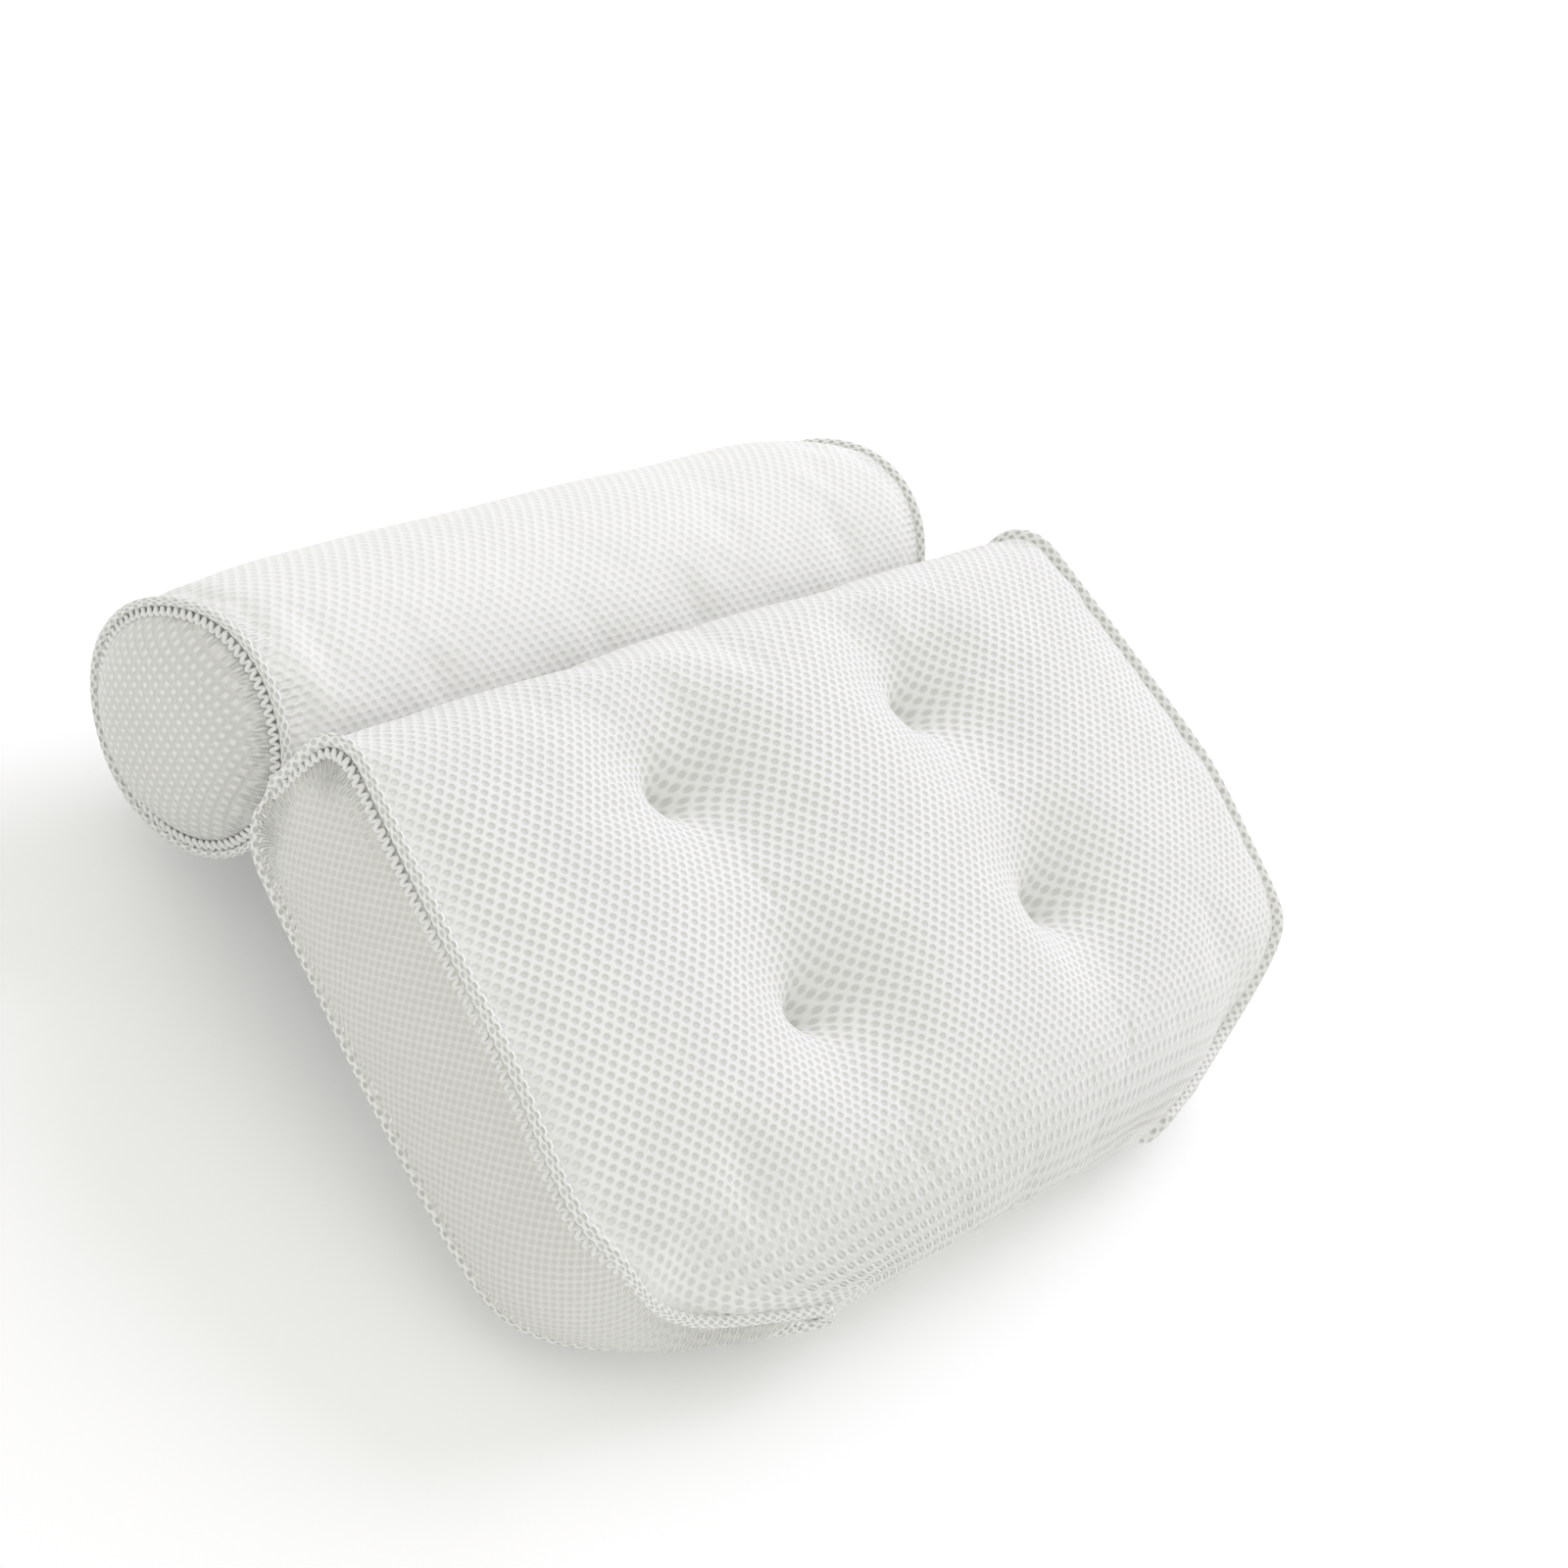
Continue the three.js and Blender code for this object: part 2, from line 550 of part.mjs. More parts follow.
function suctionCup() {
  const neckZ = LIP_Z + CUP_HEIGHT;
  return turned([
    [0, LIP_Z + CUP_HOLLOW],
    [CUP_ROOF[0] * CUP_R, LIP_Z + CUP_ROOF[1] * CUP_HOLLOW],
    [CUP_R - CUP_LIP, LIP_Z],
    [CUP_R, LIP_Z],
    [CUP_R, LIP_Z + CUP_EDGE],
    [CUP_BACK[0] * CUP_R, LIP_Z + CUP_BACK[1] * CUP_HEIGHT],
    [CUP_SHOULDER * CUP_R, neckZ],
    [CUP_NECK_R, neckZ],
    [CUP_NECK_R, CUP_HEAD_Z],
    [CUP_HEAD_R, CUP_HEAD_Z],
    [CUP_HEAD_TOP * CUP_HEAD_R, CUP_HEAD_Z + CUP_HEAD_HEIGHT],
    [0, CUP_HEAD_Z + CUP_HEAD_HEIGHT],
  ]);
}

function eyelet() {
  const bore = CUP_NECK_R + NECK_ROOM;
  return turned([
    [bore, -GAP - EYELET_FLANGE],
    [EYELET_R, -GAP - EYELET_FLANGE],
    [EYELET_R, -GAP],
    [BARREL_R, -GAP],
    [BARREL_R, FABRIC],
    [bore, FABRIC],
    [bore, -GAP - EYELET_FLANGE],
  ]);
}

// The roll's pieces, about the roll's own axis along X, with its cups straight down

const FLAT_R = ROLL_R * Math.cos(rad(ROLL_STEP)); // the roll's flattened underside, where its cups sit
const COVER_END = ROLL_HALF_LENGTH - PIPING_R - GAP - FACET_ROOM;

// Radius of the roll's cover along its length: full, with shoulders drawn in to the end piping.
function rollRadius(x) {
  const share = THREE.MathUtils.clamp((Math.abs(x) - COVER_END + ROLL_SHOULDER) / ROLL_SHOULDER, 0, 1);
  return ROLL_R - (ROLL_R - ROLL_END_R) * share ** 2;
}

// Directions round the roll, without straight down, which leaves the flat underside
const ROLL_ANGLES = range(360 / ROLL_STEP - 1).map((k) => rad(ROLL_STEP * (k + 1) - 90));

function rollGrid(xs, radii) {
  return xs.map((x, i) =>
    [...ROLL_ANGLES, ROLL_ANGLES[0]].map((angle) => {
      return vec(x, radii[i] * Math.cos(angle), radii[i] * Math.sin(angle));
    }),
  );
}

const ROLL_COLUMNS = [0, ROLL_CUP_X, COVER_END - ROLL_SHOULDER, COVER_END - ROLL_SHOULDER / 2, COVER_END];
const bothWays = (xs) => [...xs.slice(1).reverse().map((x) => -x), ...xs];

function rollCover() {
  const xs = bothWays(ROLL_COLUMNS);
  const outer = rollGrid(xs, xs.map(rollRadius));
  const inner = rollGrid(xs, xs.map((x) => rollRadius(x) - FABRIC));
  const ends = [outer, inner].map((grid) => [grid[0], grid.at(-1)]);
  const solid = closedGeometry([
    ...cells(outer),
    ...cells(inner, true),
    ...cells([ends[0][0], ends[1][0]], true),
    ...cells([ends[0][1], ends[1][1]]),
  ]);
  const hole = (x) => post(x, 0, -FLAT_R - OVERCUT, -FLAT_R + FABRIC + OVERCUT, BARREL_R + GAP);
  return cut(solid, [-ROLL_CUP_X, ROLL_CUP_X].map(hole));
}

const END_PANEL_R = ROLL_END_R - PIPING_R - GAP - FACET_ROOM / 2;
const END_PANEL_X = ROLL_HALF_LENGTH + ROLL_END_STEP;
// How far an end panel stands out past its rim, at a radius.
const endBulge = (radius) => ROLL_END_BULGE * (1 - (radius / END_PANEL_R) ** ROLL_END_POWER);

function endPanel(side) {
  const radii = END_RINGS.map((share) => share * END_PANEL_R);
  const outer = rollGrid(radii.map((r) => side * (END_PANEL_X + endBulge(r))), radii);
  const inner = rollGrid(radii.map((r) => side * (END_PANEL_X + endBulge(r) - ROLL_END_FABRIC)), radii);
  const rim = [outer.at(-1), inner.at(-1)];
  return closedGeometry([...cells(outer), ...cells(inner, true), ...cells(rim)]);
}

function rollFilling() {
  const inside = FABRIC + GAP;
  const endX = END_PANEL_X - ROLL_END_FABRIC - GAP;
  const endR = rollRadius(COVER_END) - inside;
  const radii = [...END_RINGS.slice(0, -1).map((share) => share * END_PANEL_R), endR];
  const ends = radii.map((r) => endX + endBulge(r));
  const halfXs = [...ROLL_COLUMNS, ...ends.reverse()];
  const halfRadii = [...ROLL_COLUMNS.map((x) => rollRadius(x) - inside), ...radii.reverse()];
  const xs = bothWays(halfXs);
  const solid = closedGeometry(cells(rollGrid(xs, [...halfRadii.slice(1).reverse(), ...halfRadii])));
  const pocket = (x) => post(x, 0, -FLAT_R, -FLAT_R + POCKET_DEPTH, POCKET_R, POCKET_SIDES);
  return cut(solid, [-ROLL_CUP_X, ROLL_CUP_X].map(pocket));
}

function endPiping(side) {
  const angles = range(END_PIPING_STEPS).map((k) => (2 * Math.PI * k) / END_PIPING_STEPS);
  const outwards = angles.map((angle) => vec(0, Math.cos(angle), Math.sin(angle)));
  const line = outwards.map((out) => out.clone().multiplyScalar(ROLL_END_R).setX(side * ROLL_HALF_LENGTH));
  return closedCord(line, outwards, PIPING_R);
}

// Places of the neck seam and the roll in the pad's frame
const BACK_CORNER = vec(0, TOP_Y - TOP_BACK_R, BACK_Z + TOP_BACK_R);
const TO_ROLL = vec(0, Math.cos(rad(NECK_ANGLE)), Math.sin(rad(NECK_ANGLE)));
const NECK_SEAM = sum(BACK_CORNER, TO_ROLL, TOP_BACK_R - NECK_DRAW + NECK_SPACE / 2);
const ROLL_CENTRE = sum(NECK_SEAM, TO_ROLL, NECK_SPACE / 2 + ROLL_R);

// Tilt of the pad when the roll's cups stand flat and the foot cups rest on their lower lips
function restingTilt() {
  const lip = vec(0, PAD_CUP_FOOT_Y - CUP_R, BACK_Z + LIP_Z);
  const reach = FLAT_R - LIP_Z;
  const [run, rise] = [ROLL_CENTRE.y - lip.y, ROLL_CENTRE.z - lip.z];
  return Math.asin(reach / Math.hypot(run, rise)) - Math.atan2(rise, run);
}
const TILT = restingTilt();

function neckSeam() {
  const radius = NECK_SPACE / 2 - 2 * GAP;
  const bead = new THREE.CylinderGeometry(radius, radius, 2 * NECK_SEAM_HALF_LENGTH, CORD_SIDES);
  return bead.rotateZ(Math.PI / 2).translate(0, NECK_SEAM.y, NECK_SEAM.z);
}

function buildPad() {
  const pad = new THREE.Group();
  pad.add(named("pad_filling", padFilling(), "filling"));
  pad.add(named("pad_front_panel", frontPanel(), "mesh"));
  pad.add(named("pad_back_panel", backPanel(), "mesh"));
  [["left", true], ["right", false]].forEach(([side, mirror]) => {
    pad.add(named(`pad_${side}_side_panel`, sidePanel(mirror), "sideMesh"));
    pad.add(named(`pad_${side}_piping`, padPiping(mirror), "piping"));
  });
  pad.add(named("neck_seam", neckSeam(), "piping"));
  TUFTS.forEach((tuft, i) => pad.add(named(`tuft_tie_${CORNERS[i]}`, tuftTie(tuft), "thread")));
  PAD_CUPS.forEach(([x, y], i) => {
    pad.add(named(`pad_cup_${CORNERS[i]}`, suctionCup().translate(x, y, BACK_Z), "cup"));
    pad.add(named(`pad_eyelet_${CORNERS[i]}`, eyelet().translate(x, y, BACK_Z), "eyelet"));
  });
  return pad;
}

function buildRoll() {
  const roll = new THREE.Group();
  roll.add(named("roll_filling", rollFilling(), "filling"));
  roll.add(named("roll_cover", rollCover(), "mesh"));
  [["left", -1], ["right", 1]].forEach(([name, side]) => {
    roll.add(named(`roll_${name}_end_panel`, endPanel(side), "sideMesh"));
    roll.add(named(`roll_${name}_piping`, endPiping(side), "piping"));
    roll.add(named(`roll_cup_${name}`, suctionCup().translate(side * ROLL_CUP_X, 0, -FLAT_R), "cup"));
    roll.add(named(`roll_eyelet_${name}`, eyelet().translate(side * ROLL_CUP_X, 0, -FLAT_R), "eyelet"));
  });
  return roll;
}

const pillow = new THREE.Group();
const pad = buildPad();
pad.rotation.x = TILT;
const roll = buildRoll();
roll.position.copy(ROLL_CENTRE).applyAxisAngle(vec(1, 0, 0), TILT);
pillow.add(pad, roll);

// The origin is at the middle of the bottom of the box round the whole pillow.
const box = new THREE.Box3().setFromObject(pillow, true);
pillow.position.set(-(box.min.x + box.max.x) / 2, -(box.min.y + box.max.y) / 2, -box.min.z);
pillow.updateMatrixWorld(true);

export default pillow;
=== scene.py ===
import json
import math

import bmesh
import bpy
import numpy as np
from mathutils import Matrix, Vector


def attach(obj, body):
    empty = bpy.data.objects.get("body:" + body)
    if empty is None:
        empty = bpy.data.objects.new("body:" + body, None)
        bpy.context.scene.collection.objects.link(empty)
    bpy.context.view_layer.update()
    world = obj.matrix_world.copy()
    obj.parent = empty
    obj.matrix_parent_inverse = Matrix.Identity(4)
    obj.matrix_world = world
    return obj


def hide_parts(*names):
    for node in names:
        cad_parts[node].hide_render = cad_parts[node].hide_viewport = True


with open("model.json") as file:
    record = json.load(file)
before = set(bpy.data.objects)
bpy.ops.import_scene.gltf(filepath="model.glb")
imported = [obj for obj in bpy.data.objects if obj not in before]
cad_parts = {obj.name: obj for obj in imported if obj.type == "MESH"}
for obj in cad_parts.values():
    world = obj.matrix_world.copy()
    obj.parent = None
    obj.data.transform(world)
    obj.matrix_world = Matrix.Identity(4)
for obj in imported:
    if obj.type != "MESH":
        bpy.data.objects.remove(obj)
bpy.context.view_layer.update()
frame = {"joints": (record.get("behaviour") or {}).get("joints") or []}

MM = 0.001
TURN = 2 * math.pi

# The pad's outline and thickness, as in the frame
TOP_HALF_WIDTH, MAX_HALF_WIDTH, TIP_HALF_WIDTH = 171, 185, 80
TOP_Y, WIDEST_Y, FOOT_Y = 80.5, -50, -112
TOP_DRAW_POWER, CORNER_POWER = 1.6, 3
CORNER_START, CORNER_END = 0.33, 0.78
TAIL_LENGTH = 3
SIDE_HEIGHT = 49
TOP_FRONT_R, TOP_BACK_R = 13, 16
FOOT_DROP, FOOT_DROP_Y, CORNER_DROP, BACK_RISE, TIP_SPREAD = 7, -10, 21, 9, 12
RIDGE_CROWN, FACE_CROWN, FULL_CROWN_Y, CROWN_POWER = 5, 11, 15, 2.4
FOOT_MIDDLE_Z, FACE_ROUND, BACK_ROUND = -12, 67, 24
SIDE_BULGE, BULGE_START, BULGE_END, FOOT_SWELL = 4, 8, 4, 0.3  # the two in the middle count stations

# Tufts
TUFT_X, TUFT_TOP_Y, TUFT_FOOT_Y = 62.6, 34.4, -36.2
TUFT_DEPTH, TUFT_REACH, TUFT_SHARPNESS = 21, 18, 1.2
DIMPLE_DEPTH, DIMPLE_REACH = 4.5, 5.5
TUFT_BACK_DEPTH, TUFT_BACK_REACH, TUFT_BACK_SHARPNESS = 3, 9, 2
KNOT_FACETS, KNOT_ROUNDING = 20, 0.6
LOW_KNOT = [(0, -2.2), (1.2, -2.1), (2.1, -1.4), (1.7, -0.8), (2.2, -0.3), (0.9, 0.5)]
TOP_KNOT = [(0.9, -0.5), (2.2, 0.3), (1.7, 0.8), (2.1, 1.3), (1.2, 1.9), (0, 2)]

# Neck roll and its place
ROLL_R, ROLL_END_R, ROLL_HALF_LENGTH = 38.3, 36.6, 160.6
ROLL_SHOULDER, ROLL_END_BULGE, ROLL_END_POWER = 16, 13, 4
ROLL_FLAT_R = ROLL_R * math.cos(math.radians(15))  # to the flattened underside
FLAT_REACH, FLAT_EDGE = 10, 24  # from a cup's axis to the end of its flat, and to where the roll is round
SLEEVE_END, SLEEVE_LAST_X = 157, 159.6
END_PANEL_R, END_PANEL_X, END_SEAM_RADII, END_SEAM_X = 33.2, 161.2, [35.6, 34.4], 161
NECK_SPACE, NECK_DRAW, NECK_ANGLE = 4.6, 1.5, -28.8
NECK_SEAM_HALF_LENGTH, NECK_SHAFT_HALF_LENGTH, NECK_RIPPLE = 150, 145, 0.2

# How the roll's sewing and its thin places draw it: degrees round it, from its back by way of its top
DRAW_START, DRAW_END, END_DRAW, END_LEAN = 108, 160, 1, 8
END_HOLLOW, END_SWELL = (50, 40, -3.2), (200, 45, 1.2)  # middle and width in degrees, and height
SEAM_FIRM = 16  # how far the neck seam keeps the roll from denting
ROLL_DENTS = [  # place along the roll, angle in radians, depth and reach
    (70, 1.2, 1.5, 30),
    (-30, 1.5, 1.0, 45),
    (110, 2.0, 0.8, 24),
    (-110, 0.8, 0.8, 34),
    (30, 2.6, 1.2, 34),
]

# Suction cups
CUP_R, CUP_LIP, CUP_HOLLOW, CUP_HEIGHT, CUP_EDGE = 21, 2.4, 3.2, 8.6, 0.9
CUP_NECK_R, CUP_HEAD_R, CUP_HEAD_HEIGHT = 4.2, 6.4, 2.6
EYELET_R, EYELET_FLANGE, EYELET_WALL, NECK_ROOM = 8.6, 1, 1.1, 0.4
PAD_CUP_X, PAD_CUP_TOP_Y, PAD_CUP_FOOT_Y, ROLL_CUP_X = 112, 28, -60, 95

# Fabric panels: their thickness, that at a seam and how far a seam presses them, and what lies under them
FABRIC, SEAM_FABRIC, SEAM_REACH = 4, 1.2, 7
GAP, ROLL_ROOM = 0.3, 0.5  # between a panel and the filling, and what the roll's filling has besides
GROOVE, GROOVE_PLACE, GROOVE_REACH = 0.15, 3.1, 0.8  # along a binding
NO_SEAM = 20  # a distance at which a seam no longer shows

# Stuffing: inner pressure, and for each skin how much larger its cloth is cut and the most a point moves
PRESSURE, FRAMES = 4, 20
PAD_SLACK, PAD_MOST, ROLL_SLACK, ROLL_MOST = 0.008, 6, 0.004, 4
HELD_TUFT, HELD_EYELET = 2.6, 10

# Bindings: half of the tape's height and thickness, its lift, and how it wavers with the stitches
TAPE_HIGH, TAPE_THICK, TAPE_OUT = 2.6, 1.75, 0.2
TAPE_PITCH, TAPE_SIDES = 1.6, 16
RUFFLE_PITCH, RUFFLE, SLOW_RUFFLE = 3.3, 0.22, 0.15
TUCK, TUCK_SQUEEZE = 1.0, 0.33  # how far the pad's binding is pushed in at its back, and how much squeezed
RING_SCALE, RING_OUT, RING_INSET = 0.8, 0.4, 0.2  # a ring's share of the tape, its lean and its inset
RING_LOW, RING_REACH, RING_SQUEEZE = -40, 45, 0.33  # degrees to where a ring is squeezed, and how much

# Looped thread along the bindings, and how much of it sinks into the side panels below the pad's arch
LOOP_PITCH, LOOP_REACH, LOOP_R, LOOP_STEPS, LOOP_SIDES = 2.7, 2.3, 0.66, 9, 6
LOOP_LIFT, LOOP_RISE, LOOP_DIVE, LAID_SPREAD = 0.7, 0.35, 5, 5
LOOP_SINK, LOOP_SINK_Y = 0.17, (50, 0)
LOOP_INSET, RING_LOOP_R, RING_LOOP_X = 2.5, 34.9, 162

# Spacer mesh: pitch of the holes along a row and distance between rows
FACE_WEAVE = (4.67, 2.33)
SIDE_WEAVE = (3.44, 1.52)
END_WEAVE = (4.2, 2.1)
TRIM_WEAVE = (3.5, 2.0)

# The mesh near seams: ribs where it is gathered, with painted shade in the troughs between them, a painted
# shadow along the seam and the holes of the needle, painted dark as shade
GATHER_PITCH, GATHER_DEPTH, GATHER_TROUGH_SHADE, GATHER_FADE = 2.6, 0.0005, 0.8, 0.6
SHADOW_EDGE, SHADOW_DARK = (3.4, 2.5), 0.1
NEEDLE_PITCH, NEEDLE_PLACE, NEEDLE_EDGE = 3.1, 3.3, (0.9, 0.3)
# colour of the needle's holes: painted shade inside them
NEEDLE_SHADE_COLOUR = (0.2, 0.2, 0.18, 1)
CROSS_STRETCH = 0.16  # how much the mesh is stretched across at the right side of the face
FOOT_STRETCH, FOOT_STRETCH_Y = 0.12, (-55, -105)  # and lengthwise round the foot
RIB_Y, RIB_FULL, RIB_EDGE = (-64, -102), 0.7, (24, 13)  # where the mesh draws into ribs down the foot
GATHER_REACH, FOOT_GATHER = 34, 42  # of a side panel's gathers, and from its tail to those at the foot
FOOT_TURN = (70, 120)  # how far down a side panel its ribs turn from across the seam to across the panel

FRONT_Z, BACK_Z = SIDE_HEIGHT / 2, -SIDE_HEIGHT / 2
CORNER_START_Y = WIDEST_Y + CORNER_START * (FOOT_Y - WIDEST_Y)
CORNER_END_Y = WIDEST_Y + CORNER_END * (FOOT_Y - WIDEST_Y)
TAIL_Y = FOOT_Y + TAIL_LENGTH
CUP_HEAD_Z = FABRIC + 2 * GAP
BARREL_R = CUP_NECK_R + NECK_ROOM + EYELET_WALL
LIP_Z = -(EYELET_FLANGE + 2 * GAP + CUP_HEIGHT)

# Frames: the pad's own, tilted as it rests on its cups, and the roll's, straight in the row's axes
joints = {joint["name"]: joint for joint in frame["joints"]}
cup_axis = joints["top_left_cup_swivel"]["axis"]
TILT = math.atan2(-cup_axis[1], cup_axis[2])
TILTED = np.array(Matrix.Rotation(TILT, 3, "X"))
NECK_PLACE = np.array(joints["neck_fold"]["pos_m"]) / MM
TO_ROLL = np.array([0, math.cos(math.radians(NECK_ANGLE)), math.sin(math.radians(NECK_ANGLE))])
BACK_CORNER = np.array([0, TOP_Y - TOP_BACK_R, BACK_Z + TOP_BACK_R])
NECK_SEAM = BACK_CORNER + TO_ROLL * (TOP_BACK_R - NECK_DRAW + NECK_SPACE / 2)
ROLL_CENTRE = NECK_PLACE + TILTED @ TO_ROLL * (NECK_SPACE / 2 + ROLL_R)


def from_pad(points):
    """Points of the pad's frame in millimetres, turned by its tilt about the neck seam, in metres."""
    return ((np.asarray(points, float) - NECK_SEAM) @ TILTED.T + NECK_PLACE) * MM


def from_roll(points):
    """Points about the roll's centre in millimetres, in metres."""
    return (np.asarray(points, float) + ROLL_CENTRE) * MM


# The two homes of a piece: how its points are placed, and the body that it rides on
PAD, ROLL = (from_pad, "pad"), (from_roll, "roll")


def moved(home, shift):
    """A home whose points are first moved by shift millimetres."""
    place, body = home

    def moved_place(points):
        return place(points + np.array(shift))

    return moved_place, body


# Camera at the photograph's place, with a long lens and rolled so that the pillow lies across the frame,
# one large soft light, and a pale floor
CAMERA_PLACE = (-0.91952, -0.33678, 0.66730)
CAMERA_RIGHT = Vector((0.56169, -0.66730, 0.48909))
CAMERA_UP = Vector((0.20433, 0.68473, 0.69957))
LENS, SENSOR, CLIP = 90, 36, 0.01
KEY_PLACE, KEY_SIZE, KEY_WATTS, KEY_COLOUR = (3.44, 0.88, 2.6), 3.2, 73, (1, 0.98, 1.15)
SKY_COLOUR, SKY_STRENGTH = (1, 1, 0.96, 1), 0.8
FLOOR_HALF = 4


def add_camera():
    """The camera, whose axes are two unit directions in its picture and the one square to both."""
    camera = bpy.data.objects.new("camera", bpy.data.cameras.new("camera"))
    bpy.context.scene.collection.objects.link(camera)
    camera.data.lens = LENS
    camera.data.sensor_width = SENSOR
    camera.data.clip_start = CLIP
    back = CAMERA_RIGHT.cross(CAMERA_UP)
    turn = Matrix((CAMERA_RIGHT, CAMERA_UP, back)).transposed().to_4x4()
    camera.matrix_world = Matrix.Translation(CAMERA_PLACE) @ turn
    bpy.context.scene.camera = camera


def add_key_light():
    """A round area light that looks at the origin."""
    light = bpy.data.objects.new("key", bpy.data.lights.new("key", "AREA"))
    bpy.context.scene.collection.objects.link(light)
    light.data.shape = "DISK"
    light.data.size = KEY_SIZE
    light.data.energy = KEY_WATTS
    light.data.color = KEY_COLOUR
    light.location = KEY_PLACE
    light.rotation_euler = (-Vector(KEY_PLACE)).to_track_quat("-Z", "Y").to_euler()


def set_stage():
    """The floor, a plain pale square, the key light and the even light of the room."""
    corners = [(-FLOOR_HALF, -FLOOR_HALF, 0), (FLOOR_HALF, -FLOOR_HALF, 0)]
    corners += [(FLOOR_HALF, FLOOR_HALF, 0), (-FLOOR_HALF, FLOOR_HALF, 0)]
    floor = bpy.data.meshes.new("floor")
    floor.from_pydata(corners, [], [(0, 1, 2, 3)])
    ground = bpy.data.objects.new("floor", floor)
    bpy.context.scene.collection.objects.link(ground)
    floor.materials.append(floor_material())
    add_key_light()
    world = bpy.data.worlds.new("studio")
    bpy.context.scene.world = world
    world.use_nodes = True
    background = world.node_tree.nodes["Background"].inputs
    background["Color"].default_value = SKY_COLOUR
    background["Strength"].default_value = SKY_STRENGTH
    bpy.context.scene.view_settings.view_transform = "Standard"


# Materials


class Wiring:
    """Short names for making nodes in a tree and joining them."""

    def __init__(self, tree):
        self.tree = tree

    def node(self, kind, inputs=None, **settings):
        made = self.tree.nodes.new("ShaderNode" + kind)
        for key, value in settings.items():
            setattr(made, key, value)
        self.fill(made, inputs or {})
        return made

    def fill(self, node, inputs):
        """Joins or sets each of the named inputs of a node."""
        for key, value in inputs.items():
            if isinstance(value, bpy.types.NodeSocket):
                self.tree.links.new(value, node.inputs[key])
            else:
                node.inputs[key].default_value = value

    def math(self, operation, *values):
        return self.node("Math", dict(enumerate(values)), operation=operation).outputs[0]

    def vector(self, operation, *values):
        made = self.node("VectorMath", dict(enumerate(values)), operation=operation)
        return made.outputs["Value" if operation == "LENGTH" else "Vector"]

    def times(self, first, *others):
        """The product of some values."""
        for value in others:
            first = self.math("MULTIPLY", first, value)
        return first

    def without(self, value, mask, share=1):
        """What a mask leaves of a value: times one minus a share of the mask."""
        return self.times(value, self.math("SUBTRACT", 1, self.times(mask, share)))

    def wave(self, place, pitch):
        """A cosine along a place, once for each pitch."""
        return self.math("COSINE", self.times(place, TURN / pitch))

    def mix(self, factor, first, second):
        inputs = {"Factor": factor, 6: first, 7: second}
        return self.node("Mix", inputs, data_type="RGBA").outputs[2]

    def ramp(self, value, low, high):
        """0 at low and 1 at high, with a soft ramp between."""
        inputs = {"Value": value, "From Min": low, "From Max": high}
        return self.node("MapRange", inputs, interpolation_type="SMOOTHSTEP").outputs["Result"]

    def noise(self, place, scale, detail, distortion=0):
        inputs = {"Vector": place, "Scale": scale, "Detail": detail, "Distortion": distortion}
        return self.node("TexNoise", inputs).outputs

    def bump(self, height, distance, strength=1):
        inputs = {"Strength": strength, "Distance": distance, "Height": height}
        return self.node("Bump", inputs).outputs["Normal"]

    def combined(self, x, y):
        return self.node("CombineXYZ", {"X": x, "Y": y, "Z": 1}).outputs[0]

    def parts(self, vector):
        return self.node("SeparateXYZ", {0: vector}).outputs

    def own_map(self, name):
        return self.node("UVMap", uv_map=name).outputs["UV"]

    def own_place(self):
        return self.node("TexCoord").outputs["Object"]


def new_group(name, inputs, outputs):
    """A shader node group that takes a vector and named values and gives named values, and its two end
    nodes."""
    group = bpy.data.node_groups.new(name, "ShaderNodeTree")
    group.interface.new_socket("Vector", in_out="INPUT", socket_type="NodeSocketVector")
    for label, value in inputs.items():
        socket = group.interface.new_socket(label, in_out="INPUT", socket_type="NodeSocketFloat")
        socket.default_value = value
    for label in outputs:
        group.interface.new_socket(label, in_out="OUTPUT", socket_type="NodeSocketFloat")
    return group, group.nodes.new("NodeGroupInput"), group.nodes.new("NodeGroupOutput")


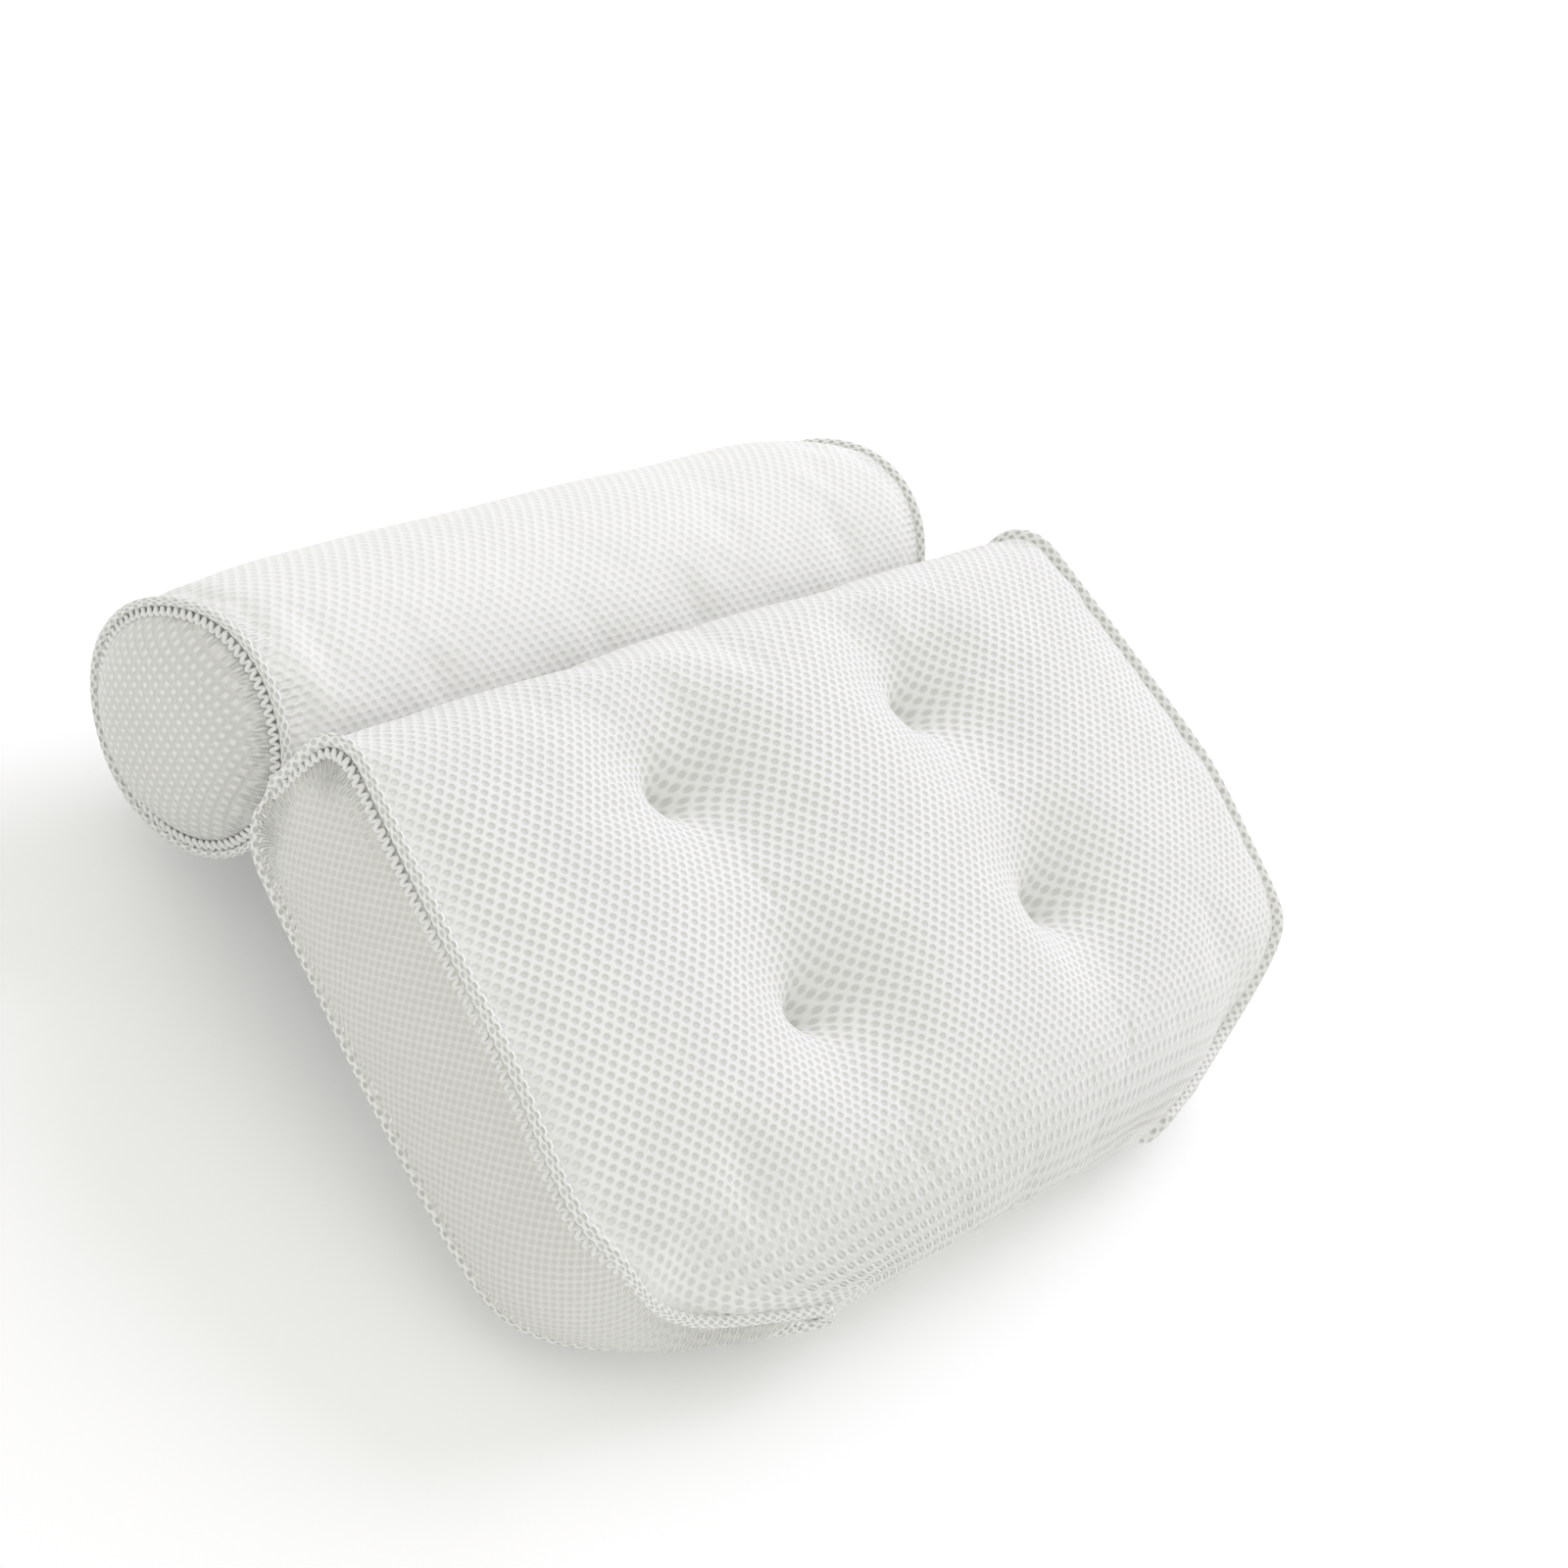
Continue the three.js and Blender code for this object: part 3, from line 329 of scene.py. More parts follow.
def spacer_mesh_group():
    """Staggered rows of oval holes. In a cell one pitch wide and two rows high there is a hole at the
    corners and one in the middle; the distance to the nearest hole, measured in hole radii, gives the
    holes, and the rounded threads between them. Where both kinds of hole are equally near runs a line,
    which parts the cells into lozenges."""
    values = {"Pitch": FACE_WEAVE[0], "Row": FACE_WEAVE[1], "Softness": 0.35, "Waver": 0.1}
    values.update({"Hole Width": 0.3, "Hole Height": 0.26})
    group, start, result = new_group("spacer mesh", values, ["Hole", "Line", "Height", "Yarn"])
    wire = Wiring(group)
    given = start.outputs
    softness = given["Softness"]
    size = wire.combined(given["Pitch"], wire.times(given["Row"], 2))
    place = wire.vector("DIVIDE", given["Vector"], size)
    centred = wire.vector("SUBTRACT", wire.noise(place, 1.3, 1)["Color"], (0.5, 0.5, 0.5))
    sway = wire.node("VectorMath", {0: centred, "Scale": given["Waver"]}, operation="SCALE")
    flat = wire.vector("MULTIPLY", wire.vector("ADD", place, sway.outputs["Vector"]), (1, 1, 0))
    radii = wire.combined(given["Hole Width"], given["Hole Height"])
    distances = []
    for shift in (0, 0.5):
        corner = wire.vector("ADD", flat, (shift, shift, 0))
        cell = wire.vector("SUBTRACT", wire.vector("FRACTION", corner), (0.5, 0.5, 0))
        distances.append(wire.vector("LENGTH", wire.vector("DIVIDE", cell, radii)))
    nearest = wire.math("MINIMUM", *distances)
    apart = wire.math("ABSOLUTE", wire.math("SUBTRACT", *distances))
    solid = wire.ramp(nearest, wire.math("SUBTRACT", 1, softness), wire.math("ADD", 1, softness))
    bulk = wire.math("ADD", wire.times(solid, 0.65), wire.times(wire.ramp(nearest, 0.7, 1.9), 0.35))
    yarn = wire.noise(wire.vector("MULTIPLY", place, (9, 30, 1)), 1, 2)["Fac"]
    fluff = wire.times(wire.math("SUBTRACT", yarn, 0.5), 0.16)
    wire.fill(
        result,
        {
            "Hole": wire.math("SUBTRACT", 1, solid),
            "Line": wire.ramp(apart, wire.times(softness, 2.75), 0),
            "Height": wire.math("ADD", bulk, fluff),
            "Yarn": yarn,
        },
    )
    return group


def plain_material(name):
    """A new material, the wiring of its tree and its main shader."""
    material = bpy.data.materials.new(name)
    material.use_nodes = True
    return material, Wiring(material.node_tree), material.node_tree.nodes["Principled BSDF"]


def mesh_pattern(wire, place, group, weave, hole, soft, lozenge, crest):
    """How dark and how high spacer mesh is at a place in the cloth, and its yarn. lozenge is how much of
    the darkness lies in lines between the holes instead, and crest how much the holes fade on the ridge
    of a binding."""
    mesh = wire.node("Group", node_tree=group)
    wire.fill(mesh, {"Vector": place, "Pitch": weave[0], "Row": weave[1], "Softness": soft})
    wire.fill(mesh, {"Hole Width": hole[0], "Hole Height": hole[1]})
    dark, lines, height, yarn = mesh.outputs
    if lozenge:
        dark = wire.math("MAXIMUM", wire.times(lines, lozenge), wire.times(dark, 1 - lozenge))
        height = wire.math("SUBTRACT", 1, lines)
    if crest:
        girth = wire.math("DIVIDE", wire.parts(place)[0], TAPE_HIGH)
        dark = wire.without(dark, wire.ramp(wire.math("COSINE", girth), -0.1, 0.75), crest)
    return dark, height, yarn


def sewn_pattern(wire, dark, height, depth):
    """The mesh's darkness and height with what its seams do to it, and the darkness of the needle's
    holes, a painted shade. What the seams do includes painted shade in the troughs between the ribs of
    a gather and a painted shadow along the seam. The map "seam" gives the place along the nearest seam
    and the distance from it, the map "gather" how strongly the mesh is gathered there, in ribs that cross
    the seam, and how much its holes fade where it is stretched, and the map "needles" how dark the
    needle's holes are."""
    run, from_seam = wire.parts(wire.own_map("seam"))[:2]
    gathered, stretched = wire.parts(wire.own_map("gather"))[:2]
    sewn = wire.parts(wire.own_map("needles"))[0]
    dark = wire.without(wire.without(dark, gathered, GATHER_FADE), stretched)
    rib = wire.wave(run, GATHER_PITCH)
    # painted shade in the troughs between the ribs of a gather
    trough_shade = wire.times(gathered, wire.ramp(rib, 0.3, -0.8), GATHER_TROUGH_SHADE)
    shadow = wire.times(wire.ramp(from_seam, *SHADOW_EDGE), SHADOW_DARK)
    dark = wire.math("MAXIMUM", wire.math("MAXIMUM", dark, trough_shade), shadow)
    height = wire.math("ADD", height, wire.times(rib, gathered, GATHER_DEPTH / depth))
    from_row = wire.math("ABSOLUTE", wire.math("SUBTRACT", from_seam, NEEDLE_PLACE))
    pricks = wire.ramp(wire.wave(run, NEEDLE_PITCH), 0.2, 0.8)
    return dark, height, wire.times(pricks, wire.ramp(from_row, *NEEDLE_EDGE), sewn)


def mesh_material(name, group, weave, hole, soft, depth, colours, lozenge=0, crest=0):
    """White spacer mesh whose pattern follows the piece's own map "cloth", in millimetres. hole is the
    half size of a hole in shares of a cell, depth the pattern's height in metres, and colours are those
    of the threads, which drift a little, and of the holes, whose darker colour is painted shade in them."""
    thread_colour, hole_shade_colour = [(*colour, 1) for colour in colours]
    shaded_colour = (*[value * 0.975 for value in colours[0]], 1)
    material, wire, shader = plain_material(name)
    place = wire.own_map("cloth")
    cloud = wire.noise(place, 0.035, 2)["Fac"]
    shade = wire.mix(wire.ramp(cloud, 0.35, 0.65), thread_colour, shaded_colour)
    dark, height, yarn = mesh_pattern(wire, place, group, weave, hole, soft, lozenge, crest)
    dark, height, needle = sewn_pattern(wire, dark, height, depth)
    wire.fill(
        shader,
        {
            "Base Color": wire.mix(needle, wire.mix(dark, shade, hole_shade_colour), NEEDLE_SHADE_COLOUR),
            "Normal": wire.bump(height, depth),
            "Roughness": wire.ramp(yarn, -0.5, 1.1),
            "Specular IOR Level": 0.25,
            "Sheen Weight": 0.15,
            "Sheen Roughness": 0.5,
        },
    )
    return material


def clouded_material(name, scale, detail, colours, distortion=0):
    """A material whose colour drifts between two with a noise in its own space, and that noise."""
    material, wire, shader = plain_material(name)
    cloud = wire.noise(wire.own_place(), scale, detail, distortion)["Fac"]
    first, second = [(*colour, 1) for colour in colours]
    wire.fill(shader, {"Base Color": wire.mix(cloud, first, second)})
    return material, wire, shader, cloud


def thread_material():
    material, wire, shader = plain_material("polyester thread")
    strands = {"Vector": wire.own_place(), "Scale": 900, "Distortion": 1.5, "Detail": 1}
    twist = wire.node("TexWave", strands, bands_direction="DIAGONAL").outputs["Fac"]
    colour = wire.mix(twist, (0.9, 0.9, 0.88, 1), (0.98, 0.98, 0.97, 1))
    wire.fill(shader, {"Base Color": colour, "Normal": wire.bump(twist, 0.0002, 0.5), "Roughness": 0.6})
    return material


def fibre_material():
    colours = (0.78, 0.78, 0.76), (0.95, 0.95, 0.94)
    material, wire, shader, strands = clouded_material("polyester fibre", 140, 6, colours, 2)
    wire.fill(shader, {"Normal": wire.bump(strands, 0.002, 0.8), "Roughness": 0.95})
    return material


def vinyl_material():
    colours = (0.82, 0.88, 0.9), (0.9, 0.94, 0.95)
    material, wire, shader, cloud = clouded_material("clear vinyl", 60, 3, colours)
    wire.fill(shader, {"Roughness": wire.ramp(cloud, -1.2, 4.5), "Transmission Weight": 0.75, "IOR": 1.52})
    return material


def plastic_material():
    colours = (0.84, 0.85, 0.84), (0.9, 0.9, 0.89)
    material, wire, shader, cloud = clouded_material("moulded plastic", 30, 2, colours)
    grain = wire.noise(wire.own_place(), 900, 2)["Fac"]
    wire.fill(shader, {"Roughness": wire.ramp(cloud, -0.6, 1.8), "Normal": wire.bump(grain, 0.0001, 0.3)})
    return material


def floor_material():
    colours = (0.93, 0.93, 0.935), (0.95, 0.95, 0.95)
    material, wire, shader = clouded_material("pale floor", 1.5, 2, colours)[:3]
    wire.fill(shader, {"Roughness": 0.9, "Specular IOR Level": 0.1})
    wire.fill(shader, {"Emission Color": (1, 1, 1, 1), "Emission Strength": 0.12})
    return material


def build_finishes():
    """Each finish of the pillow: its material, and the slot of the part's looks that it fills."""
    weave = spacer_mesh_group()
    # Each pair is the colour of the threads and the darker colour of the holes, painted shade in them
    face = (0.91, 0.91, 0.895), (0.715, 0.715, 0.69)
    sleeve = (0.925, 0.925, 0.91), (0.84, 0.84, 0.815)
    # The side panels are darker than the face: painted shade, as they turn away from the light
    side = (0.795, 0.795, 0.765), (0.675, 0.675, 0.635)
    end = (0.9, 0.9, 0.875), (0.66, 0.66, 0.63)
    trim = (0.92, 0.92, 0.9), (0.58, 0.58, 0.545)
    face_mesh = mesh_material("face mesh", weave, FACE_WEAVE, (0.235, 0.17), 0.55, 0.0004, face)
    sleeve_mesh = mesh_material("sleeve mesh", weave, FACE_WEAVE, (0.235, 0.17), 0.6, 0.0003, sleeve)
    side_mesh = mesh_material("side mesh", weave, SIDE_WEAVE, (0.24, 0.22), 0.6, 0.00025, side)
    end_mesh = mesh_material("end mesh", weave, END_WEAVE, (0.36, 0.36), 0.52, 0.0005, end, lozenge=0.8)
    trim_mesh = mesh_material("trim mesh", weave, TRIM_WEAVE, (0.17, 0.17), 0.7, 0.0005, trim, crest=0.4)
    thread = thread_material()
    return {
        "face": (face_mesh, "face_mesh"),
        "sleeve": (sleeve_mesh, "face_mesh"),
        "side": (side_mesh, "side_mesh"),
        "end": (end_mesh, "side_mesh"),
        "tape": (trim_mesh, "piping_mesh"),
        "thread": (thread, "tuft_thread"),
        "neck seam": (thread, "piping_mesh"),
        "fibre": (fibre_material(), "fibre_filling"),
        "vinyl": (vinyl_material(), "cup_vinyl"),
        "plastic": (plastic_material(), "eyelet_plastic"),
    }


# Meshes from arrays of points


def add_object(name, node, mesh, finish, body):
    """Links a finished mesh with the material of its finish, and says which body it rides on and, unless
    it is an extra, hides the part of the node that it stands for. The slot in finish is not used."""
    material, slot = finish
    made = bpy.data.objects.new(name, mesh)
    bpy.context.scene.collection.objects.link(made)
    mesh.materials.append(material)
    mesh.polygons.foreach_set("use_smooth", np.ones(len(mesh.polygons), bool))
    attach(made, body)
    if node:
        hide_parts(node)
    return made


def cells(index, turned=False, wrap_columns=False):
    """Four corners of each cell of a grid of point numbers. They face the way of the step between rows
    crossed with the step between columns, or the other way when turned."""
    if wrap_columns:
        index = np.hstack([index, index[:, :1]])
    corners = [index[:-1, :-1], index[1:, :-1], index[1:, 1:], index[:-1, 1:]]
    return np.stack(corners[::-1] if turned else corners, -1).reshape(-1, 4)


def numbers(grid, first=0):
    """The number of each point of a grid of points."""
    return first + np.arange(grid.shape[0] * grid.shape[1]).reshape(grid.shape[:2])


def mesh_from(name, points, faces, **maps):
    """A mesh from points in metres, faces of equal length, and named maps with a place for each point."""
    mesh = bpy.data.meshes.new(name)
    faces = np.asarray(faces)
    mesh.vertices.add(len(points))
    mesh.vertices.foreach_set("co", np.asarray(points, np.float32).ravel())
    mesh.loops.add(faces.size)
    mesh.loops.foreach_set("vertex_index", faces.ravel().astype(np.int32))
    mesh.polygons.add(len(faces))
    mesh.polygons.foreach_set("loop_start", np.arange(0, faces.size, faces.shape[1], dtype=np.int32))
    mesh.update(calc_edges=True)
    for label, uv in maps.items():
        layer = mesh.uv_layers.new(name=label)
        layer.data.foreach_set("uv", np.asarray(uv, np.float32)[faces.ravel()].ravel())
    mesh.validate()
    return mesh


def smooth(piece):
    """One level of subdivision."""
    rounder = piece.modifiers.new("smooth", "SUBSURF")
    rounder.levels = rounder.render_levels = 1


def rounded(profile, reach, steps=4):
    """A profile of (radius, height) pairs with its inner corners rounded: each is replaced by a
    quadratic curve that leaves the sides at most reach from the corner."""
    points = np.array(profile, float)
    result = [points[:1]]
    t = np.linspace(0, 1, steps)[:, None]
    for before, corner, after in zip(points[:-2], points[1:-1], points[2:]):
        sides = [before - corner, after - corner]
        length = [np.linalg.norm(side) for side in sides]
        cut = min(reach, 0.45 * min(length))
        start, end = [corner + side / size * cut for side, size in zip(sides, length)]
        result.append((1 - t) ** 2 * start + 2 * t * (1 - t) * corner + t**2 * end)
    return np.concatenate([*result, points[-1:]])


def lathe(name, node, home, finish, profile, sides):
    """A solid of revolution about the Z axis from (radius, height) pairs that start and end on the
    axis, or end where they start."""
    place, body = home
    radius, height = np.asarray(profile, float).T[:, :, None]
    angle = np.linspace(0, TURN, sides, endpoint=False)
    grid = np.stack(np.broadcast_arrays(radius * np.cos(angle), radius * np.sin(angle), height), -1)
    mesh = mesh_from(name, place(grid.reshape(-1, 3)), cells(numbers(grid), wrap_columns=True))
    weld(mesh)
    add_object(name, node, mesh, finish, body)


MERGE_DISTANCE = 1e-6


def weld(mesh):
    """Merges points that lie together, such as at the poles, and turns the faces outwards."""
    work = bmesh.new()
    work.from_mesh(mesh)
    bmesh.ops.remove_doubles(work, verts=work.verts, dist=MERGE_DISTANCE)
    bmesh.ops.recalc_face_normals(work, faces=work.faces)
    work.to_mesh(mesh)
    work.free()


def stations(low, high, count, fine):
    """count places from low to high, closer together round each (centre, width, gain) in fine: even
    steps of the running total of a density, which is one plus a bell curve at each centre."""
    x = np.linspace(low, high, 4000)
    density = 1 + sum(gain * np.exp(-(((x - centre) / width) ** 2)) for centre, width, gain in fine)
    total = np.concatenate([[0], np.cumsum((density[1:] + density[:-1]) / 2)])
    return np.interp(np.linspace(0, total[-1], count), total, x)


def snapped(places, *values):
    """places with the nearest one moved to each value."""
    for value in values:
        places[np.abs(places - value).argmin()] = value
    return places


# Shape of the pad, as in the frame


def fall(value, high, low):
    """A smooth step from 0 at high to 1 at low: three squares less two cubes of the share between."""
    t = np.clip((high - value) / (high - low), 0, 1)
    return t * t * (3 - 2 * t)


def rise(value, low, high):
    """A smooth step from 0 at low to 1 at high."""
    return fall(-value, -low, -high)


def half_width(y):
    """Half of the pad's width: from its widest place it narrows by a power towards the top, and by
    another into the corners of the foot."""
    below = np.clip((WIDEST_Y - y) / (WIDEST_Y - FOOT_Y), 0, 1)
    above = np.clip((y - WIDEST_Y) / (TOP_Y - WIDEST_Y), 0, 1)
    corner = (MAX_HALF_WIDTH - TIP_HALF_WIDTH) * below**CORNER_POWER
    return MAX_HALF_WIDTH - corner - (MAX_HALF_WIDTH - TOP_HALF_WIDTH) * above**TOP_DRAW_POWER


def front_edge_z(y):
    """Height of the front edge: it drops by two smooth steps towards the foot."""
    drop = FOOT_DROP * fall(y, FOOT_DROP_Y, CORNER_START_Y)
    return FRONT_Z - drop - CORNER_DROP * fall(y, CORNER_START_Y, CORNER_END_Y)


def back_edge_z(y):
    """Height of the back edge: it rises by a smooth step round the foot."""
    return BACK_Z + BACK_RISE * fall(y, CORNER_START_Y, TAIL_Y)


def ellipse_fall(y, length):
    """1 down to a place length above the foot, and from there a quarter of an ellipse, cut short of its
    end."""
    reach = np.clip((FOOT_Y + length - y) / length, 0, 0.98)
    return np.sqrt(1 - reach**2)


def middle_front_z(y):
    """Height of the front's middle line: its crown grows from the top ridge to the face, and the whole
    falls by an ellipse to the foot."""
    crown = RIDGE_CROWN + (FACE_CROWN - RIDGE_CROWN) * fall(y, TOP_Y - TOP_FRONT_R, FULL_CROWN_Y)
    return FOOT_MIDDLE_Z + (FRONT_Z + crown - FOOT_MIDDLE_Z) * ellipse_fall(y, FACE_ROUND)


def middle_back_z(y):
    """Height of the back's middle line, which rises by an ellipse to the foot."""
    return FOOT_MIDDLE_Z + (BACK_Z - FOOT_MIDDLE_Z) * ellipse_fall(y, BACK_ROUND)


ARC_ROWS = 5  # rows round a top corner of the side panel
LEVEL_ROWS = 58  # rows from there to the foot
SIDE_ROWS = 16  # steps across a side panel
HALF_COLUMNS = 50
FIRST_LEVEL = TOP_Y - TOP_BACK_R - 3
fine_levels = [(TUFT_TOP_Y, 11, 1.3), (TUFT_FOOT_Y, 11, 1.3), (TAIL_Y, 9, 2.5)]
LEVELS = snapped(stations(FIRST_LEVEL, TAIL_Y, LEVEL_ROWS, fine_levels), TUFT_TOP_Y, TUFT_FOOT_Y)
SIDE_SHARES = stations(0, 1, SIDE_ROWS + 1, [(0, 0.09, 2.2), (1, 0.09, 2.2)])
STATIONS = ARC_ROWS + 1 + LEVEL_ROWS
LAST = STATIONS - 1
FIRST_FOOT = SIDE_ROWS - 1 + STATIONS
FIRST_BACK = FIRST_FOOT + SIDE_ROWS - 1
ROW_COUNT = FIRST_BACK + STATIONS


def front_row(station):
    """The row of the cover at a station of the front."""
    return SIDE_ROWS - 1 + station


def back_row(station):
    """The row of the cover at a station of the back."""
    return FIRST_BACK + LAST - station


def face_rows(side):
    """Edge and middle points of the stations on the front (side 1) or the back (side -1)."""
    front = side > 0
    radius = TOP_FRONT_R if front else TOP_BACK_R
    angle = np.linspace(0, math.pi / 2, ARC_ROWS + 1)
    y = np.concatenate([TOP_Y - radius + radius * np.cos(angle), LEVELS])
    out = radius * (1 - np.sin(angle))
    arc_z = FRONT_Z - out if front else BACK_Z + out
    arc_middle = arc_z + (RIDGE_CROWN * np.sin(angle) if front else 0)
    edge_z = np.concatenate([arc_z, (front_edge_z if front else back_edge_z)(LEVELS)])
    middle_z = np.concatenate([arc_middle, (middle_front_z if front else middle_back_z)(LEVELS)])
    return np.stack([half_width(y), y, edge_z], -1), np.stack([0 * y, y, middle_z], -1)


def rows_between(start, end, reach, inwards):
    """Rows of the end face or the foot: straight from start to end, bowed by a half sine of height reach
    inwards and by a third of it lengthwise."""
    t = SIDE_SHARES[1:-1, None]
    bow = reach * np.sin(math.pi * t)
    return start + (end - start) * t + np.hstack([-bow * inwards, -bow / 3, 0 * bow])


def pad_rows():
    """Edge points and middle points of the rows round the pad: up the end face, down the front, round
    the foot and up the back."""
    (front_edge, front_middle), (back_edge, back_middle) = face_rows(1), face_rows(-1)
    lines = []
    for front, back, inwards in ((front_edge, back_edge, 1), (front_middle, back_middle, 0)):
        end = rows_between(back[0], front[0], 0, 0)
        foot = rows_between(front[-1], back[-1], TIP_SPREAD / 2, inwards)
        lines.append(np.concatenate([end, front, foot, back[::-1]]))
    return lines


def pull(x, y, reach, sharpness):
    """How strongly the hollows of the tufts act: 1 at a tuft, fading with an exponential of a power of
    the distance."""
    total = 0
    for tuft_y in (TUFT_TOP_Y, TUFT_FOOT_Y):
        distance = np.hypot(np.abs(x) - TUFT_X, y - tuft_y)
        total = total + np.exp(-((distance / reach) ** sharpness))
    return total


EDGE, MIDDLE = pad_rows()
columns = stations(0, MAX_HALF_WIDTH, HALF_COLUMNS, [(TUFT_X, 11, 1.3), (MAX_HALF_WIDTH, 5, 2.2)])
RIGHT_COLUMNS = snapped(columns, TUFT_X)
COLUMNS = np.concatenate([-RIGHT_COLUMNS[:0:-1], RIGHT_COLUMNS])


def column_places(edge_x, y):
    """Distance from the middle of each column in each row: even shares of the row at the foot, and the
    same distance in every row above it, up to a knee, with what is left shared out."""
    knee = 0.45 * MAX_HALF_WIDTH
    outer = (np.abs(COLUMNS) - knee) / (MAX_HALF_WIDTH - knee)
    along = np.where(np.abs(COLUMNS) < knee, np.abs(COLUMNS), knee + outer * (edge_x[:, None] - knee))
    shared = np.abs(COLUMNS) / MAX_HALF_WIDTH * edge_x[:, None]
    foot = fall(y, TUFT_FOOT_Y - 12, CORNER_END_Y)[:, None]
    return np.sign(COLUMNS) * (along + (shared - along) * foot)


def pad_cover():
    """Points of the cover: in each row the height rises from the edge to the middle by one minus a
    power of the distance from the middle, less the pull of the tufts and of the neck seam."""
    x = column_places(EDGE[:, 0], EDGE[:, 1])
    share = 1 - (np.abs(x) / EDGE[:, :1]) ** CROWN_POWER
    grid = EDGE[:, None, :] + (MIDDLE - EDGE)[:, None, :] * share[..., None]
    grid[..., 0] = x
    face = slice(front_row(ARC_ROWS), FIRST_FOOT)
    back = slice(FIRST_BACK + 1, back_row(ARC_ROWS) + 1)
    hollow = np.minimum(1, pull(grid[face, :, 0], grid[face, :, 1], TUFT_REACH, TUFT_SHARPNESS))
    dimple = pull(grid[face, :, 0], grid[face, :, 1], DIMPLE_REACH, 2)
    grid[face, :, 2] -= TUFT_DEPTH * hollow + DIMPLE_DEPTH * dimple
    behind = pull(grid[back, :, 0], grid[back, :, 1], TUFT_BACK_REACH, TUFT_BACK_SHARPNESS)
    grid[back, :, 2] += TUFT_BACK_DEPTH * behind
    neck = back_row(1)
    grid[neck] -= unit(grid[neck] - grid[neck] * [1, 0, 0] - [0, TOP_Y - TOP_BACK_R, 0]) * NECK_DRAW
    return grid


def unit(vectors):
    """Vectors divided by their lengths."""
    return vectors / np.maximum(np.linalg.norm(vectors, axis=-1, keepdims=True), 1e-9)


def side_links():
    """For the right side panel, as stations by steps from the front edge to the back edge: the row of
    the cover whose edge a border point shares, or -1 inside."""
    links = np.full((STATIONS, SIDE_ROWS + 1), -1)
    k = np.arange(STATIONS)
    links[:, 0], links[:, -1] = front_row(k), back_row(k)
    inner = np.arange(1, SIDE_ROWS)
    links[0, 1:-1] = front_row(0) - inner
    links[-1, 1:-1] = FIRST_FOOT + inner - 1
    return links


def nearest_rows(shape):
    """The row of the cover nearest to each point of a side panel: that of its station on the nearer of
    the front and the back, or on the end face for the first station."""
    k, step = np.indices(shape)
    rows = np.where(step <= SIDE_ROWS // 2, front_row(k), back_row(k))
    return np.where((k == 0) & (step > 0) & (step < SIDE_ROWS), front_row(0) - step, rows) % ROW_COUNT


def side_panel(edge_line):
    """Points of the right side panel: straight across from edge to edge, with a parabolic bulge that
    eases off at both ends and swells a little towards the foot."""
    links = side_links()
    front, back = edge_line[links[:, 0]], edge_line[links[:, -1]]
    t = SIDE_SHARES
    k = np.arange(STATIONS)
    ease = np.minimum(1, np.minimum(k / BULGE_START, (LAST - k) / BULGE_END))
    ease = ease * (1 + FOOT_SWELL * rise(k, LAST - 22, LAST - 4))
    grid = front[:, None] + (back - front)[:, None] * t[:, None]
    outwards = unit(np.cross(np.gradient(front + back, axis=0), back - front))
    grid += outwards[:, None] * (SIDE_BULGE * ease[:, None] * 4 * t * (1 - t))[..., None]
    border = links >= 0
    grid[border] = edge_line[links[border]]
    return grid


def grid_normals(grid, wrap_rows=False, wrap_columns=False):
    """Unit normals: the step between rows crossed with the step between columns. Where a grid wraps, its
    last row or column repeats its first."""
    padded = grid
    if wrap_rows:
        padded = np.concatenate([padded[-2:-1], padded, padded[1:2]])
    if wrap_columns:
        padded = np.concatenate([padded[:, -2:-1], padded, padded[:, 1:2]], axis=1)
    normals = unit(np.cross(np.gradient(padded, axis=0), np.gradient(padded, axis=1)))
    if wrap_rows:
        normals = normals[1:-1]
    if wrap_columns:
        normals = normals[:, 1:-1]
    return normals


def run_length(points, axis):
    """Distance along a line of points, from its first."""
    steps = np.linalg.norm(np.diff(points, axis=axis), axis=-1)
    return np.concatenate([np.zeros_like(np.take(steps, [0], axis)), np.cumsum(steps, axis)], axis)


def nearest_on(grid, line):
    """Distance of each point of a grid from a closed line of points, and the place along the line of the
    spot nearest to it: the point's place along each step of the line, held within the step."""
    step = np.roll(line, -1, 0) - line
    length = np.linalg.norm(step, axis=1)
    run = np.concatenate([[0], np.cumsum(length)[:-1]])
    points = grid.reshape(-1, 1, 3)
    share = np.clip(((points - line) * step).sum(-1) / length**2, 0, 1)
    away = np.linalg.norm(points - line - share[..., None] * step, axis=-1)
    nearest = away.argmin(1)
    each = np.arange(len(points))
    place = run[nearest] + share[each, nearest] * length[nearest]
    return away[each, nearest].reshape(grid.shape[:2]), place.reshape(grid.shape[:2])


# Stuffing by cloth simulation


